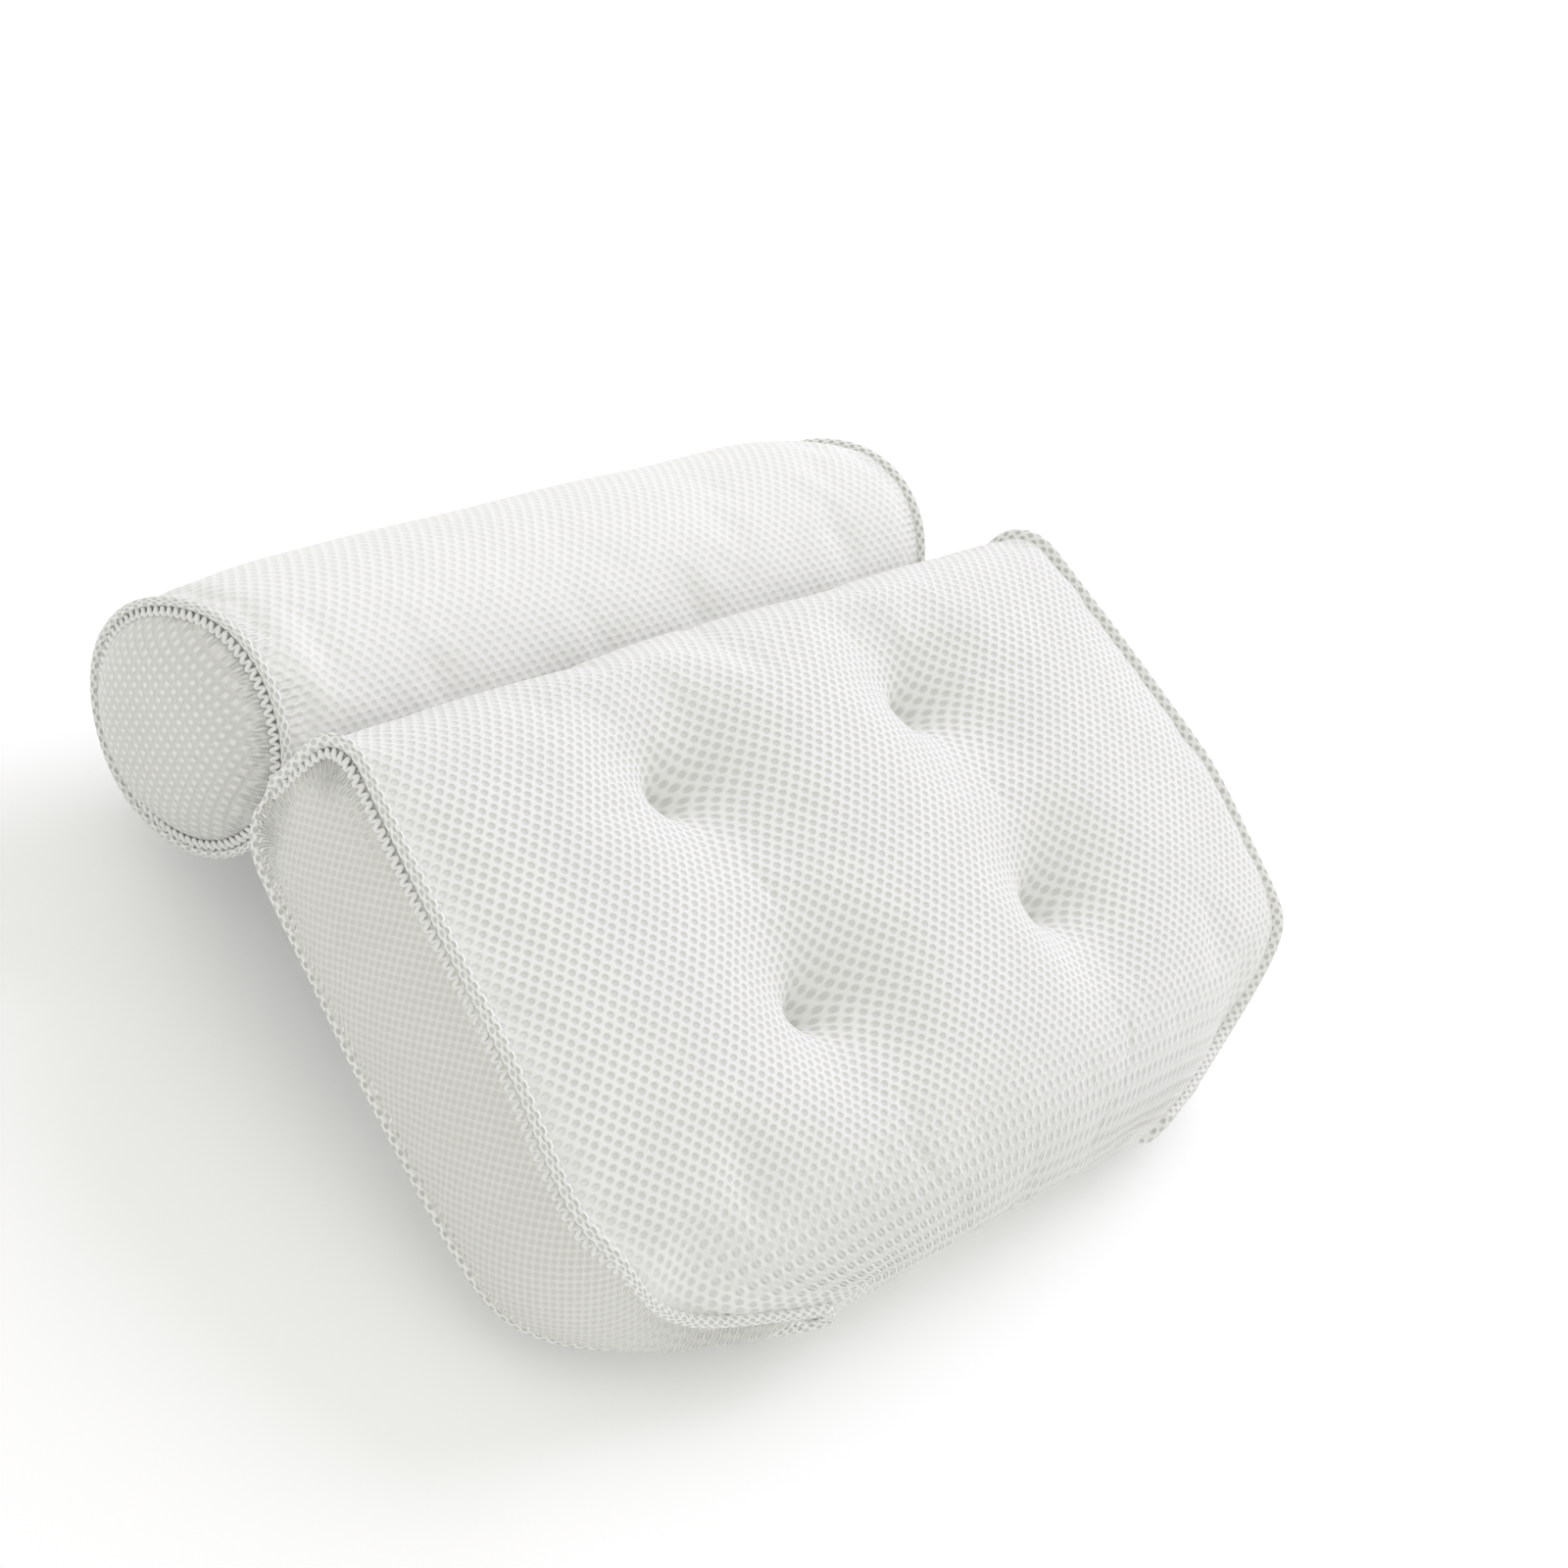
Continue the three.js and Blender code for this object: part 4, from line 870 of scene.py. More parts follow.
def stuffed(points, faces, held, slack, most):
    """Points in millimetres after Blender's cloth has swollen under inner pressure, with the held ones
    kept in place and the cloth cut larger by slack. A point that moved by d ends at most * tanh(d / most)
    from its start."""
    scene = bpy.context.scene
    mesh = mesh_from("stuffing", points * MM, faces)
    work = bpy.data.objects.new("stuffing", mesh)
    scene.collection.objects.link(work)
    work.vertex_groups.new(name="held").add(np.asarray(held).tolist(), 1, "REPLACE")
    cloth = work.modifiers.new("cloth", "CLOTH")
    settings = cloth.settings
    settings.quality = 5
    settings.mass = 0.3
    settings.tension_stiffness = settings.compression_stiffness = 15
    settings.shear_stiffness = 5
    settings.bending_stiffness = 0.5
    settings.use_pressure = True
    settings.uniform_pressure_force = PRESSURE
    settings.effector_weights.gravity = 0
    settings.vertex_group_mass = "held"
    settings.shrink_min = -slack
    cloth.collision_settings.use_collision = False
    cloth.point_cache.frame_start = 1
    cloth.point_cache.frame_end = FRAMES
    for frame_number in range(1, FRAMES + 1):
        scene.frame_set(frame_number)
    result = work.evaluated_get(bpy.context.evaluated_depsgraph_get()).to_mesh()
    swollen = np.empty(len(points) * 3)
    result.vertices.foreach_get("co", swollen)
    bpy.data.objects.remove(work)
    bpy.data.meshes.remove(mesh)
    scene.frame_set(1)
    move = swollen.reshape(-1, 3) / MM - points
    size = np.linalg.norm(move, axis=1, keepdims=True)
    return points + unit(move) * most * np.tanh(size / most)


def panel_depth(distance):
    """Thickness of a panel: a smooth step from that at a seam to the full one at SEAM_REACH."""
    return SEAM_FABRIC + (FABRIC - SEAM_FABRIC) * rise(distance, 0, SEAM_REACH)


def gather_near(distance, reach=12):
    """How much of a gather is left at a distance from its seam."""
    return fall(distance, reach, 4)


def from_borders(grid, axis):
    """Distance of each point of a grid from the nearer of its two borders, along its line of points."""
    run = run_length(grid, axis)
    return np.minimum(run, np.take(run, [-1], axis) - run)


def paired(shape, first, second=0.0):
    """Two values at each point of a grid, as a place in a map."""
    return np.stack([np.broadcast_to(first, shape), np.broadcast_to(second, shape)], -1)


def panel(name, node, home, finish, sheet, gather, along, fade=0.0, needles=0.0):
    """A closed panel of padded fabric: the outer grid with a groove along its bound sides, the same grid
    sunk by its thickness along its normals, and rims between their borders. sheet is the outer grid, its
    normals, the distances from the plain seams and from the bound ones, and the places in the cloth.
    gather is how full the mesh is there, along the place along the nearest seam, fade how much the holes
    fade, and needles how dark the painted shade in the needle's holes is. Gives back the outer grid."""
    outer, normals, to_ends, to_sides, cloth = sheet
    groove = GROOVE * np.exp(-(((to_sides - GROOVE_PLACE) / GROOVE_REACH) ** 2))
    outer = outer - normals * groove[..., None]
    inner = outer - normals * panel_depth(np.minimum(to_ends, to_sides))[..., None]
    first, second = numbers(outer), numbers(outer, outer.shape[0] * outer.shape[1])
    borders = [(first[0], second[0]), (first[-1], second[-1])]
    borders += [(first[:, 0], second[:, 0]), (first[:, -1], second[:, -1])]
    faces = np.concatenate([cells(first), cells(second, True), *[cells(np.stack(rim)) for rim in borders]])
    shape = outer.shape[:2]
    maps = {
        "cloth": cloth,
        "seam": paired(shape, along, to_sides),
        "gather": paired(shape, gather, fade),
        "needles": paired(shape, needles),
    }
    maps = {label: np.tile(values.reshape(-1, 2), (2, 1)) for label, values in maps.items()}
    place, body = home
    points = place(np.concatenate([outer.reshape(-1, 3), inner.reshape(-1, 3)]))
    mesh = mesh_from(name, points, faces, **maps)
    weld(mesh)
    piece = add_object(name, node, mesh, finish, body)
    smooth(piece)
    return outer


def filling(name, node, home, finish, points, faces, depths):
    """The stuffing inside a closed skin: its points sunk by their depths along the mean of the normals
    of their faces."""
    corners = points[faces]
    face_normals = unit(np.cross(corners[:, 2] - corners[:, 0], corners[:, 3] - corners[:, 1]))
    total = np.zeros_like(points)
    np.add.at(total, faces.ravel(), np.repeat(face_normals, faces.shape[1], axis=0))
    place, body = home
    mesh = mesh_from(name, place(points - unit(total) * depths[:, None]), faces)
    weld(mesh)
    piece = add_object(name, node, mesh, finish, body)


def heading(points):
    """Unit directions along a closed line of points, from the one before to the one after."""
    return unit(np.roll(points, -1, 0) - np.roll(points, 1, 0))


def square_to(along, directions):
    """The unit part of some directions that is square to others."""
    return unit(directions - along * (directions * along).sum(-1, keepdims=True))


def resampled(line, directions, pitch):
    """A closed line of points, evenly spaced by about pitch, with the unit directions at them, made
    square to the line, the places along it and the lengths of the directions given."""
    closed = np.hstack([line, directions])
    closed = np.vstack([closed, closed[:1]])
    length = run_length(closed[:, :3], 0)
    places = np.linspace(0, length[-1], round(length[-1] / pitch), endpoint=False)
    columns = np.stack([np.interp(places, length, column) for column in closed.T], -1)
    points, directions = np.split(columns, 2, axis=1)
    return points, square_to(heading(points), directions), places, np.linalg.norm(directions, axis=1)


def binding(name, node, home, finish, line, outwards):
    """A tape of mesh folded over a seam: an oval carried along a closed line, taller than it is thick,
    which stands outwards from the seam and swells and sinks a little with each stitch. The length of
    outwards scales it."""
    points, up, places, size = resampled(line, outwards, TAPE_PITCH)
    across = np.cross(heading(points), up)
    angle = np.linspace(0, TURN, TAPE_SIDES + 1)
    ruffle = RUFFLE * np.sin(TURN * places / RUFFLE_PITCH)
    ruffle = ruffle + SLOW_RUFFLE * np.sin(places / 11) * np.sin(places / 29)
    swell = ruffle[:, None] * (0.4 + 0.6 * np.cos(angle))
    high = (TAPE_HIGH * size[:, None] + swell) * np.cos(angle)
    thick = (TAPE_THICK * size[:, None] + swell) * np.sin(angle)
    grid = points[:, None] + up[:, None] * high[..., None]
    grid += across[:, None] * thick[..., None]
    grid = np.concatenate([grid, grid[:1]])
    places = np.append(places, places[-1] + TAPE_PITCH)[:, None]
    cloth = paired(grid.shape[:2], angle * TAPE_HIGH, places).reshape(-1, 2)
    plain = np.zeros_like(cloth)
    place, body = home
    points = place(grid.reshape(-1, 3))
    mesh = mesh_from(name, points, cells(numbers(grid)), cloth=cloth, seam=plain + NO_SEAM, gather=plain)
    weld(mesh)
    smooth(add_object(name, node, mesh, finish, body))


def laid_on(points, grid, normals, lift):
    """Points moved along the normal of the surface near them until they lie lift above it, and that
    normal. The surface near a point is the mean of the grid, weighed by a bell curve of the distance."""
    surface, normals = grid.reshape(-1, 3), normals.reshape(-1, 3)
    away = surface - points[:, None]
    weight = np.exp(-((away**2).sum(-1)) / LAID_SPREAD)[..., None]
    up = unit((weight * normals).sum(1))
    height = ((weight * away).sum(1) / weight.sum(1) * up).sum(-1, keepdims=True)
    return points + up * (height + lift[:, None]), up


def overlock(name, home, finish, line, inwards, grid, normals):
    """A thread that loops over the edge of a panel: a thin cord that lies on the panel along a closed
    line, swings inwards by half of one minus a cosine, and runs high on its way in and low on its way
    back. It sinks into the panel where inwards is shorter than 1."""
    length = run_length(np.concatenate([line, line[:1]]), 0)[-1]
    pitch = length / round(length / LOOP_PITCH)
    points, inwards, places, size = resampled(line, inwards, pitch / LOOP_STEPS)
    phase = TURN * places / pitch
    points = points + inwards * (LOOP_REACH * (0.5 - 0.5 * np.cos(phase)))[:, None]
    lift = LOOP_LIFT + LOOP_RISE * np.sin(phase) - LOOP_DIVE * (1 - size)
    points, up = laid_on(points, grid, normals, lift)
    path = heading(points)
    up = square_to(path, up)
    across = np.cross(path, up)
    angle = np.linspace(0, TURN, LOOP_SIDES, endpoint=False)[:, None]
    cord = points[:, None] + LOOP_R * (up[:, None] * np.cos(angle) + across[:, None] * np.sin(angle))
    index = np.vstack([numbers(cord), numbers(cord)[:1]])
    place, body = home
    mesh = mesh_from(name, place(cord.reshape(-1, 3)), cells(index, wrap_columns=True))
    weld(mesh)
    add_object(name, None, mesh, finish, body)


# The pad

NECK_ROW, FOOT_SEAM_ROW = back_row(1), FIRST_BACK + 1
TUFTS = [(side * TUFT_X, y) for y in (TUFT_TOP_Y, TUFT_FOOT_Y) for side in (-1, 1)]
PAD_CUPS = [(side * PAD_CUP_X, y) for y in (PAD_CUP_TOP_Y, PAD_CUP_FOOT_Y) for side in (-1, 1)]
CORNERS = ["top_left", "top_right", "foot_left", "foot_right"]
# How deep the binding is tucked at some rows of the cover, and at every row between them
TUCKS = {0: 0.6, SIDE_ROWS - 1: 0, FIRST_FOOT: 0, FIRST_BACK: 0.4, FIRST_BACK + 12: 1, ROW_COUNT: 0.9}
TUCKED = np.interp(np.arange(ROW_COUNT), list(TUCKS), list(TUCKS.values()))


def near(points, places, reach):
    """Which points lie within reach of one of some places, measured in X and Y."""
    return sum(np.hypot(points[..., 0] - x, points[..., 1] - y) < reach for x, y in places) > 0


def pad_skin(cover, side, links):
    """The whole skin as one closed mesh: the ring of the cover's rows, and a side panel at each end that
    shares the points of its edge. Gives its points and faces, and the numbers of the points of the cover
    and of each side panel."""
    inside = links < 0
    cover_index = numbers(cover)
    side_index = {}
    points = [cover.reshape(-1, 3)]
    for name, column, mirror in (("right", -1, 1), ("left", 0, -1)):
        index = cover_index[links, column]
        index[inside] = sum(map(len, points)) + np.arange(inside.sum())
        side_index[name] = index
        points.append(side[inside] * [mirror, 1, 1])
    ring = np.vstack([cover_index, cover_index[:1]])
    faces = [cells(ring), cells(side_index["right"]), cells(side_index["left"], True)]
    return np.concatenate(points), np.concatenate(faces), cover_index, side_index


def pad_held(points, index):
    """Numbers of the points that the seams, the tufts and the eyelets hold while the pad is stuffed."""
    face, back, neck = index[front_row(0) : FIRST_FOOT], index[FIRST_BACK:], index[NECK_ROW]
    held = [index[:, 0], index[:, -1], neck[np.abs(points[neck][:, 0]) < NECK_SEAM_HALF_LENGTH]]
    held += [rows[near(points[rows], TUFTS, HELD_TUFT)] for rows in (face, back)]
    return np.concatenate([*held, back[near(points[back], PAD_CUPS, HELD_EYELET)]])


def edge_directions(cover, side, links):
    """Along the right edge of the skin: the normals of the cover, and those of the seam, halfway between
    the cover's and the side panel's."""
    border = links >= 0
    side_out = np.zeros((ROW_COUNT, 3))
    side_out[links[border]] = grid_normals(side)[border]
    cover_out = grid_normals(np.concatenate([cover, cover[:1]]), wrap_rows=True)[:-1, -1]
    return cover_out, unit(side_out + cover_out)


def cloth_places():
    """Places in the cloth of each column and row of the cover: across, halfway between even columns and
    the real ones, drawn closer to the right by a square; lengthwise, the run of the middle line."""
    lengths = np.linalg.norm(np.diff(MIDDLE, axis=0, append=MIDDLE[:1]), axis=1)
    at_foot = np.where(np.arange(ROW_COUNT) < FIRST_FOOT, fall(MIDDLE[:, 1], *FOOT_STRETCH_Y), 1)
    stretch = 1 + FOOT_STRETCH * at_foot
    v = np.concatenate([[0], np.cumsum(lengths / stretch)])
    u = (COLUMNS + column_places(EDGE[:, 0], EDGE[:, 1])) / 2
    return u * (1 - CROSS_STRETCH / 3 * (np.maximum(u, 0) / MAX_HALF_WIDTH) ** 2), v


CLOTH_U, CLOTH_V = cloth_places()


def make_cover(name, finish, first, last, cover, normals):
    """The rows of the stuffed ring from first to last, as one panel: its holes fade on the top ridge and
    at its bound sides, and ribs run down round the foot."""
    rows = np.arange(first, last + 1)
    wrapped = rows % ROW_COUNT
    y = MIDDLE[wrapped, 1]
    grid = cover[wrapped]
    to_ends, to_sides = from_borders(grid, 0), from_borders(grid, 1)
    ridge = (1 - fall(y, TOP_Y - 4, TOP_Y - 40)) * (rows < FIRST_FOOT)
    fade = np.maximum(0.5 * ridge[:, None], 0.75 * gather_near(to_sides, 11))
    at_foot = fall(y, *RIB_Y) * (rows >= 0) * (rows < FIRST_BACK + 3)
    ribbed = RIB_FULL * at_foot[:, None] * (1 - fall(to_sides, *RIB_EDGE))
    cloth = paired(to_ends.shape, CLOTH_U[wrapped], CLOTH_V[wrapped, None])
    along = cloth[..., 0] * GATHER_PITCH / FACE_WEAVE[0]
    sheet = grid, normals[wrapped], to_ends, to_sides, cloth
    panel(f"pad_{name}_cover", f"pad_{name}_panel", PAD, finish, sheet, ribbed, along, fade)


def make_side(name, finish, grid, normals):
    """A side panel of the pad, gathered at its top and, more, across its foot. The place along its seam
    is the distance from the middle of the foot, and turns into the place down the panel towards it."""
    along, across = run_length(grid, 0), run_length(grid, 1)
    down = along[:, SIDE_ROWS // 2, None]
    border = np.concatenate([grid[::-1, -1], grid[0, -2::-1], grid[1:, 0], grid[-1, 1:-1]])
    distance, seam_run = nearest_on(grid, border)
    whole = run_length(border[: 2 * STATIONS + SIDE_ROWS - 1], 0)[-1]
    seam_run = np.abs(seam_run - whole / 2)
    seam_run += (whole / 2 + down - down[-1] - seam_run) * rise(down, *FOOT_TURN)
    at_top = np.exp(-((down / GATHER_REACH) ** 2))
    at_foot = np.exp(-(((down - down[-1] + FOOT_GATHER) / GATHER_REACH) ** 2))
    gathered = np.maximum(gather_near(distance, 15) * at_top, 0.75 * at_foot)
    # the needle's holes get more painted shade where the binding is tucked and the panel gathered
    needles = (0.3 + 0.5 * np.maximum(at_top, at_foot)) * TUCKED[nearest_rows(across.shape)]
    cloth = paired(across.shape, across - across[:, -1:] / 2, down)
    sheet = grid, normals, distance, distance, cloth
    piece = f"pad_{name}_side"
    return panel(piece, f"{piece}_panel", PAD, finish, sheet, gathered, seam_run, needles=needles)


def make_tie(corner, finish, x, y, low, top):
    """A tuft's thread, from a small knot below the back at height low to one above the face at top."""
    profile = [(radius, low + height) for radius, height in LOW_KNOT]
    profile += [(radius, top + height) for radius, height in TOP_KNOT]
    profile = rounded(profile, KNOT_ROUNDING)
    lathe(f"tie_{corner}", f"tuft_tie_{corner}", moved(PAD, (x, y, 0)), finish, profile, KNOT_FACETS)


def make_neck_seam(finish):
    """A bead along the neck seam with rounded ends: its radius swells and sinks with a cosine, once for
    each stitch."""
    radius = NECK_SPACE / 2 - GAP
    end_z = NECK_SEAM_HALF_LENGTH - radius
    end = [(radius * math.sin(a), end_z + radius * math.cos(a)) for a in np.linspace(0, math.pi / 2, 6)]
    heights = np.arange(NECK_SHAFT_HALF_LENGTH, -NECK_SHAFT_HALF_LENGTH - 1, -LOOP_PITCH / 4)
    shaft = [(radius + NECK_RIPPLE * math.cos(TURN * z / LOOP_PITCH), z) for z in heights]
    profile = end + shaft + [(r, -z) for r, z in end[::-1]]

    def along_x(points):
        return from_pad(points[:, ::-1] + NECK_SEAM)

    lathe("neck_seam_binding", "neck_seam", (along_x, "pad"), finish, profile, 14)


def make_cup(spot, corner, home, finishes):
    """A suction cup about an axis along Z, with the outside of the cover at height 0, and its eyelet.
    The eyelet rides on the home's body, and the cup on its own."""
    place, owner = home
    neck_z = LIP_Z + CUP_HEIGHT
    cup = [
        (0, LIP_Z + CUP_HOLLOW),
        (0.55 * CUP_R, LIP_Z + 0.8 * CUP_HOLLOW),
        (CUP_R - CUP_LIP, LIP_Z + 0.25),
        (CUP_R - CUP_LIP / 2, LIP_Z),
        (CUP_R, LIP_Z + 0.1),
        (CUP_R, LIP_Z + CUP_EDGE),
        (0.72 * CUP_R, LIP_Z + 0.62 * CUP_HEIGHT),
        (0.46 * CUP_R, LIP_Z + 0.9 * CUP_HEIGHT),
        (0.4 * CUP_R, neck_z),
        (CUP_NECK_R, neck_z),
        (CUP_NECK_R, CUP_HEAD_Z),
        (CUP_HEAD_R, CUP_HEAD_Z),
        (0.8 * CUP_HEAD_R, CUP_HEAD_Z + CUP_HEAD_HEIGHT),
        (0, CUP_HEAD_Z + CUP_HEAD_HEIGHT),
    ]
    cup_home, cup_node = (place, f"{spot}_cup"), f"{owner}_cup_{corner}"
    lathe(f"cup_{spot}", cup_node, cup_home, finishes["vinyl"], rounded(cup, 1.6, 5), 72)
    bore, rim_z = CUP_NECK_R + NECK_ROOM, -GAP - EYELET_FLANGE
    flange = [(bore, -GAP), (bore, rim_z), (EYELET_R, rim_z), (EYELET_R, -GAP)]
    barrel = [(BARREL_R, -GAP), (BARREL_R, FABRIC), (bore, FABRIC), (bore, -GAP)]
    ring = rounded(flange + barrel, 0.45)
    lathe(f"eyelet_{spot}", f"{owner}_eyelet_{corner}", home, finishes["plastic"], ring, 48)


def make_pad(finishes):
    """The pad: its skin is stuffed as one mesh and then made as panels, each with its binding and looped
    thread, over the filling, the ties, the cups and the neck seam."""
    cover, links = pad_cover(), side_links()
    side = side_panel(cover[:, -1])
    cover_out, seam_out = edge_directions(cover, side, links)
    tape_line = cover[:, -1] + seam_out * (TAPE_OUT - TUCK * TUCKED)[:, None]
    standing = 1 - TUCK_SQUEEZE * TUCKED[:, None]
    below_arch = fall(EDGE[:, 1], *LOOP_SINK_Y) * (np.arange(ROW_COUNT) < FIRST_FOOT)
    sewn = standing - LOOP_SINK * below_arch[:, None]

    points, faces, index, side_index = pad_skin(cover, side, links)
    points = stuffed(points, faces, pad_held(points, index), PAD_SLACK, PAD_MOST)
    cover = points[index]
    normals = grid_normals(points[np.vstack([index, index[:1]])], wrap_rows=True)
    make_cover("front", finishes["face"], NECK_ROW - ROW_COUNT, FOOT_SEAM_ROW, cover, normals)
    make_cover("back", finishes["face"], FOOT_SEAM_ROW, NECK_ROW, cover, normals)
    for name, mirror, column in (("right", 1, -1), ("left", -1, 0)):
        flip = [mirror, 1, 1]
        grid, edge = points[side_index[name]], points[index[:, column]]
        side_normals = grid_normals(grid) * mirror
        outer = make_side(name, finishes["side"], grid, side_normals)
        tape, node = f"pad_{name}_binding", f"pad_{name}_piping"
        binding(tape, node, PAD, finishes["tape"], tape_line * flip, standing * seam_out * flip)
        inwards = unit(-cover_out) * flip
        line = edge + inwards * LOOP_INSET
        overlock(f"pad_{name}_overlock", PAD, finishes["thread"], line, inwards * sewn, outer, side_normals)

    depths = np.full(len(points), FABRIC + GAP)
    depths[index[:, [0, -1]].ravel()] *= math.sqrt(2)
    filling("pad_fibre", "pad_filling", PAD, finishes["fibre"], points, faces, depths)
    for corner, (x, y) in zip(CORNERS, TUFTS):
        column = int(np.abs(COLUMNS - x).argmin())
        station = ARC_ROWS + 1 + int(np.abs(LEVELS - y).argmin())
        low, top = [cover[row, column][2] for row in (back_row(station), front_row(station))]
        make_tie(corner, finishes["thread"], x, y, low, top)
    for corner, (x, y) in zip(CORNERS, PAD_CUPS):
        make_cup(corner, corner, moved(PAD, (x, y, BACK_Z)), finishes)
    make_neck_seam(finishes["neck seam"])


# The neck roll

ROUND_COUNT = 72
SEAM_ANGLE = math.atan2(*-(TILTED @ TO_ROLL)[[2, 1]])
AROUND = SEAM_ANGLE + np.linspace(0, TURN, ROUND_COUNT + 1)
ROLL_CUPS = [(-ROLL_CUP_X, 0), (ROLL_CUP_X, 0)]


def roll_radius(x):
    """The roll's radius: full, and falling to that of its ends by a square over the shoulder."""
    share = np.clip((np.abs(x) - SLEEVE_END + ROLL_SHOULDER) / ROLL_SHOULDER, 0, 1)
    return ROLL_R - (ROLL_R - ROLL_END_R) * share**2


def arc_from(angle):
    """Distance round the roll from an angle to each column of its points, with a sign."""
    return ROLL_R * (np.mod(AROUND - angle + math.pi, TURN) - math.pi)


def degrees_from(middle, angle):
    """Degrees round the roll from middle to angles given in radians, with a sign."""
    return (np.degrees(angle) - middle + 180) % 360 - 180


def leaned(points):
    """Points of the roll as its sewing draws its ends: with a smooth step beyond DRAW_START they move
    inwards, most at the underside, and their radius falls by a hollow on the upper back and rises a
    little towards the pad."""
    x, y, z = np.moveaxis(points, -1, 0)
    share = 1 - fall(np.abs(x), DRAW_END, DRAW_START)
    inwards = END_DRAW + END_LEAN * (0.5 - 0.5 * z / ROLL_R)
    swell = 0
    for middle, width, height in (END_HOLLOW, END_SWELL):
        turned = degrees_from(middle, np.arctan2(z, y))
        swell = swell + height * np.exp(-((turned / width) ** 2))
    scale = 1 + share * swell / ROLL_END_R
    return np.stack([x - np.sign(x) * share * inwards, y * scale, z * scale], -1)


def sleeve_points(x):
    """Rings of points round the roll's axis, flattened under each cup and drawn in where the filling is
    thin: each dent is a bell curve of the distance from its middle, and fades near the neck seam."""
    x, radius = np.broadcast_arrays(x[:, None], roll_radius(x)[:, None] + 0 * AROUND)
    y, z = radius * np.cos(AROUND), radius * np.sin(AROUND)
    from_cup = np.minimum(np.hypot(x - ROLL_CUP_X, y), np.hypot(x + ROLL_CUP_X, y))
    is_round = 1 - fall(from_cup, FLAT_EDGE, FLAT_REACH)
    z = np.maximum(z, -ROLL_FLAT_R - (ROLL_R - ROLL_FLAT_R + 0.1) * is_round)
    dent = 0
    for middle, angle, depth, reach in ROLL_DENTS:
        away = np.hypot(x - middle, arc_from(angle))
        dent = dent + depth * np.exp(-((away / reach) ** 2))
    dent = dent * (1 - np.exp(-((arc_from(SEAM_ANGLE) / SEAM_FIRM) ** 2)))
    scale = 1 - dent / ROLL_R
    return np.stack([x, y * scale, z * scale], -1)


def end_points():
    """Rings of points from the right end's seam to its middle, where they are closest: the panel bulges
    by one minus a power of its radius."""
    radii = np.concatenate([END_SEAM_RADII, END_PANEL_R * (1 - np.linspace(0, 1, 16) ** 1.35)])
    radii[-1] = 1
    bulge = ROLL_END_BULGE * (1 - np.minimum(1, radii / END_PANEL_R) ** ROLL_END_POWER)
    x = np.where(radii > END_PANEL_R, END_SEAM_X, END_PANEL_X + bulge)[:, None]
    radii = radii[:, None]
    return np.stack(np.broadcast_arrays(x, radii * np.cos(AROUND), radii * np.sin(AROUND)), -1)


def make_sleeve(finish, grid, x):
    """The cover of the roll, a little gathered at its two ends."""
    to_ends = from_borders(grid, 0)
    cloth = paired(to_ends.shape, x[:, None], AROUND * ROLL_R)
    normals = -grid_normals(grid, wrap_columns=True)
    sheet = grid, normals, 0 * to_ends + NO_SEAM, to_ends, cloth
    gathered = 0.4 * gather_near(to_ends)
    panel("roll_sleeve", "roll_cover", ROLL, finish, sheet, gathered, AROUND * ROLL_R)


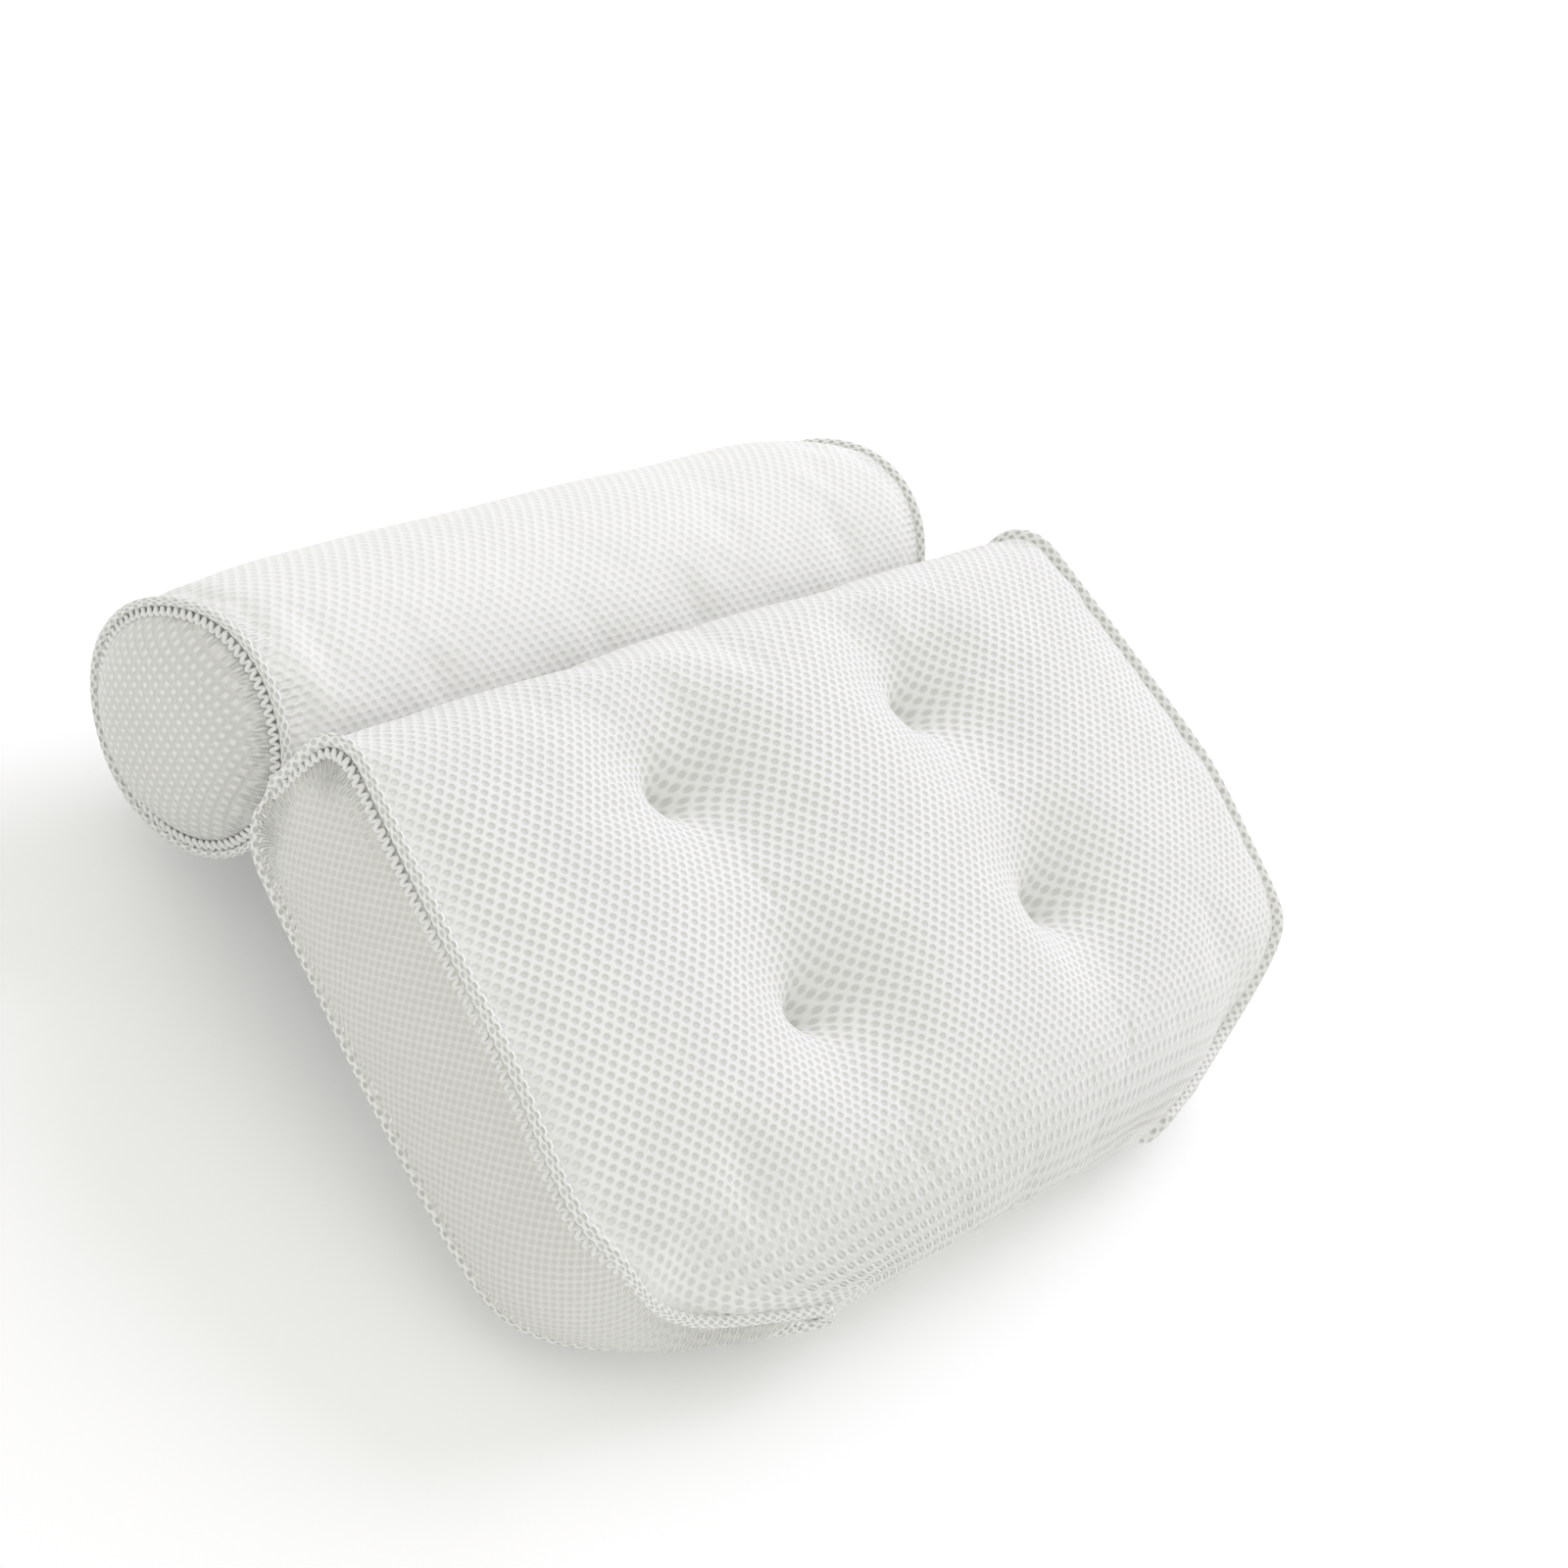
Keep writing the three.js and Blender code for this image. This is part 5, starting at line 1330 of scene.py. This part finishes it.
def make_end(name, side, grid, finishes):
    """An end panel of the roll, gathered most beside the neck seam, its binding and its looped thread."""
    grid[-1] = grid[-1].mean(0)
    normals = grid_normals(grid, wrap_columns=True) * -side
    normals[-1] = [side, 0, 0]
    distance = run_length(grid, 0)
    cloth = grid[..., [2, 1]] @ np.array([[1, 1], [1, -1]]) / math.sqrt(2)
    gathered = (0.15 + 0.85 * (0.5 + 0.5 * np.cos(AROUND - SEAM_ANGLE)) ** 2) * gather_near(distance)
    sheet = grid, normals, distance + 9, distance + 1, cloth
    piece, run = f"roll_{name}_end", AROUND * END_PANEL_R
    outer = panel(piece, f"{piece}_panel", ROLL, finishes["end"], sheet, gathered, run)

    angle = np.linspace(0, TURN, 120, endpoint=False)
    out = np.stack([0 * angle, np.cos(angle), np.sin(angle)], -1)
    low = degrees_from(RING_LOW, angle)
    standing = 1 - RING_SQUEEZE * np.exp(-((low / RING_REACH) ** 2))[:, None]
    line = leaned(out * (ROLL_END_R - RING_INSET) + [side * (ROLL_HALF_LENGTH - RING_INSET), 0, 0])
    outwards = RING_SCALE * standing * unit(RING_OUT * out + [side, 0, 0])
    binding(f"roll_{name}_binding", f"roll_{name}_piping", ROLL, finishes["tape"], line, outwards)
    line = leaned(out * RING_LOOP_R + [side * RING_LOOP_X, 0, 0])
    overlock(f"roll_{name}_overlock", ROLL, finishes["thread"], line, -out * standing, outer, normals)


def make_roll(finishes):
    """The roll: its skin is stuffed as one mesh and then made as a sleeve and two ends, over the filling,
    with its two cups."""
    fine = [(-SLEEVE_END, 12, 1), (SLEEVE_END, 12, 1)]
    x = snapped(stations(-SLEEVE_LAST_X, SLEEVE_LAST_X, 71, fine), -ROLL_CUP_X, ROLL_CUP_X)
    right = end_points()
    left = (right * [-1, 1, 1])[::-1]
    skin = leaned(np.concatenate([left, sleeve_points(x), right])[:, :-1])
    points, index = skin.reshape(-1, 3), numbers(skin)
    faces = cells(index, True, wrap_columns=True)

    count = len(right)
    sleeve = index[count:-count]
    seams = index[[count - 1, count, -count, -count - 1]].ravel()
    neck = sleeve[np.abs(x) < NECK_SEAM_HALF_LENGTH, 0]
    eyelets = near(points[sleeve], ROLL_CUPS, HELD_EYELET) & (points[sleeve][..., 2] < 0)
    held = np.concatenate([seams, neck, sleeve[eyelets]])
    points = stuffed(points, faces, held, ROLL_SLACK, ROLL_MOST)

    depths = np.full(len(points), FABRIC + GAP + ROLL_ROOM)
    filling("roll_fibre", "roll_filling", ROLL, finishes["fibre"], points, faces, depths)
    rows = points[np.hstack([index, index[:, :1]])]
    make_sleeve(finishes["sleeve"], rows[count:-count], x)
    for name, side, grid in (("left", -1, rows[:count][::-1]), ("right", 1, rows[-count:])):
        make_end(name, side, grid, finishes)
        home = moved(ROLL, (side * ROLL_CUP_X, 0, -ROLL_FLAT_R))
        make_cup(f"roll_{name}", name, home, finishes)


add_camera()
set_stage()
FINISHES = build_finishes()
make_pad(FINISHES)
make_roll(FINISHES)
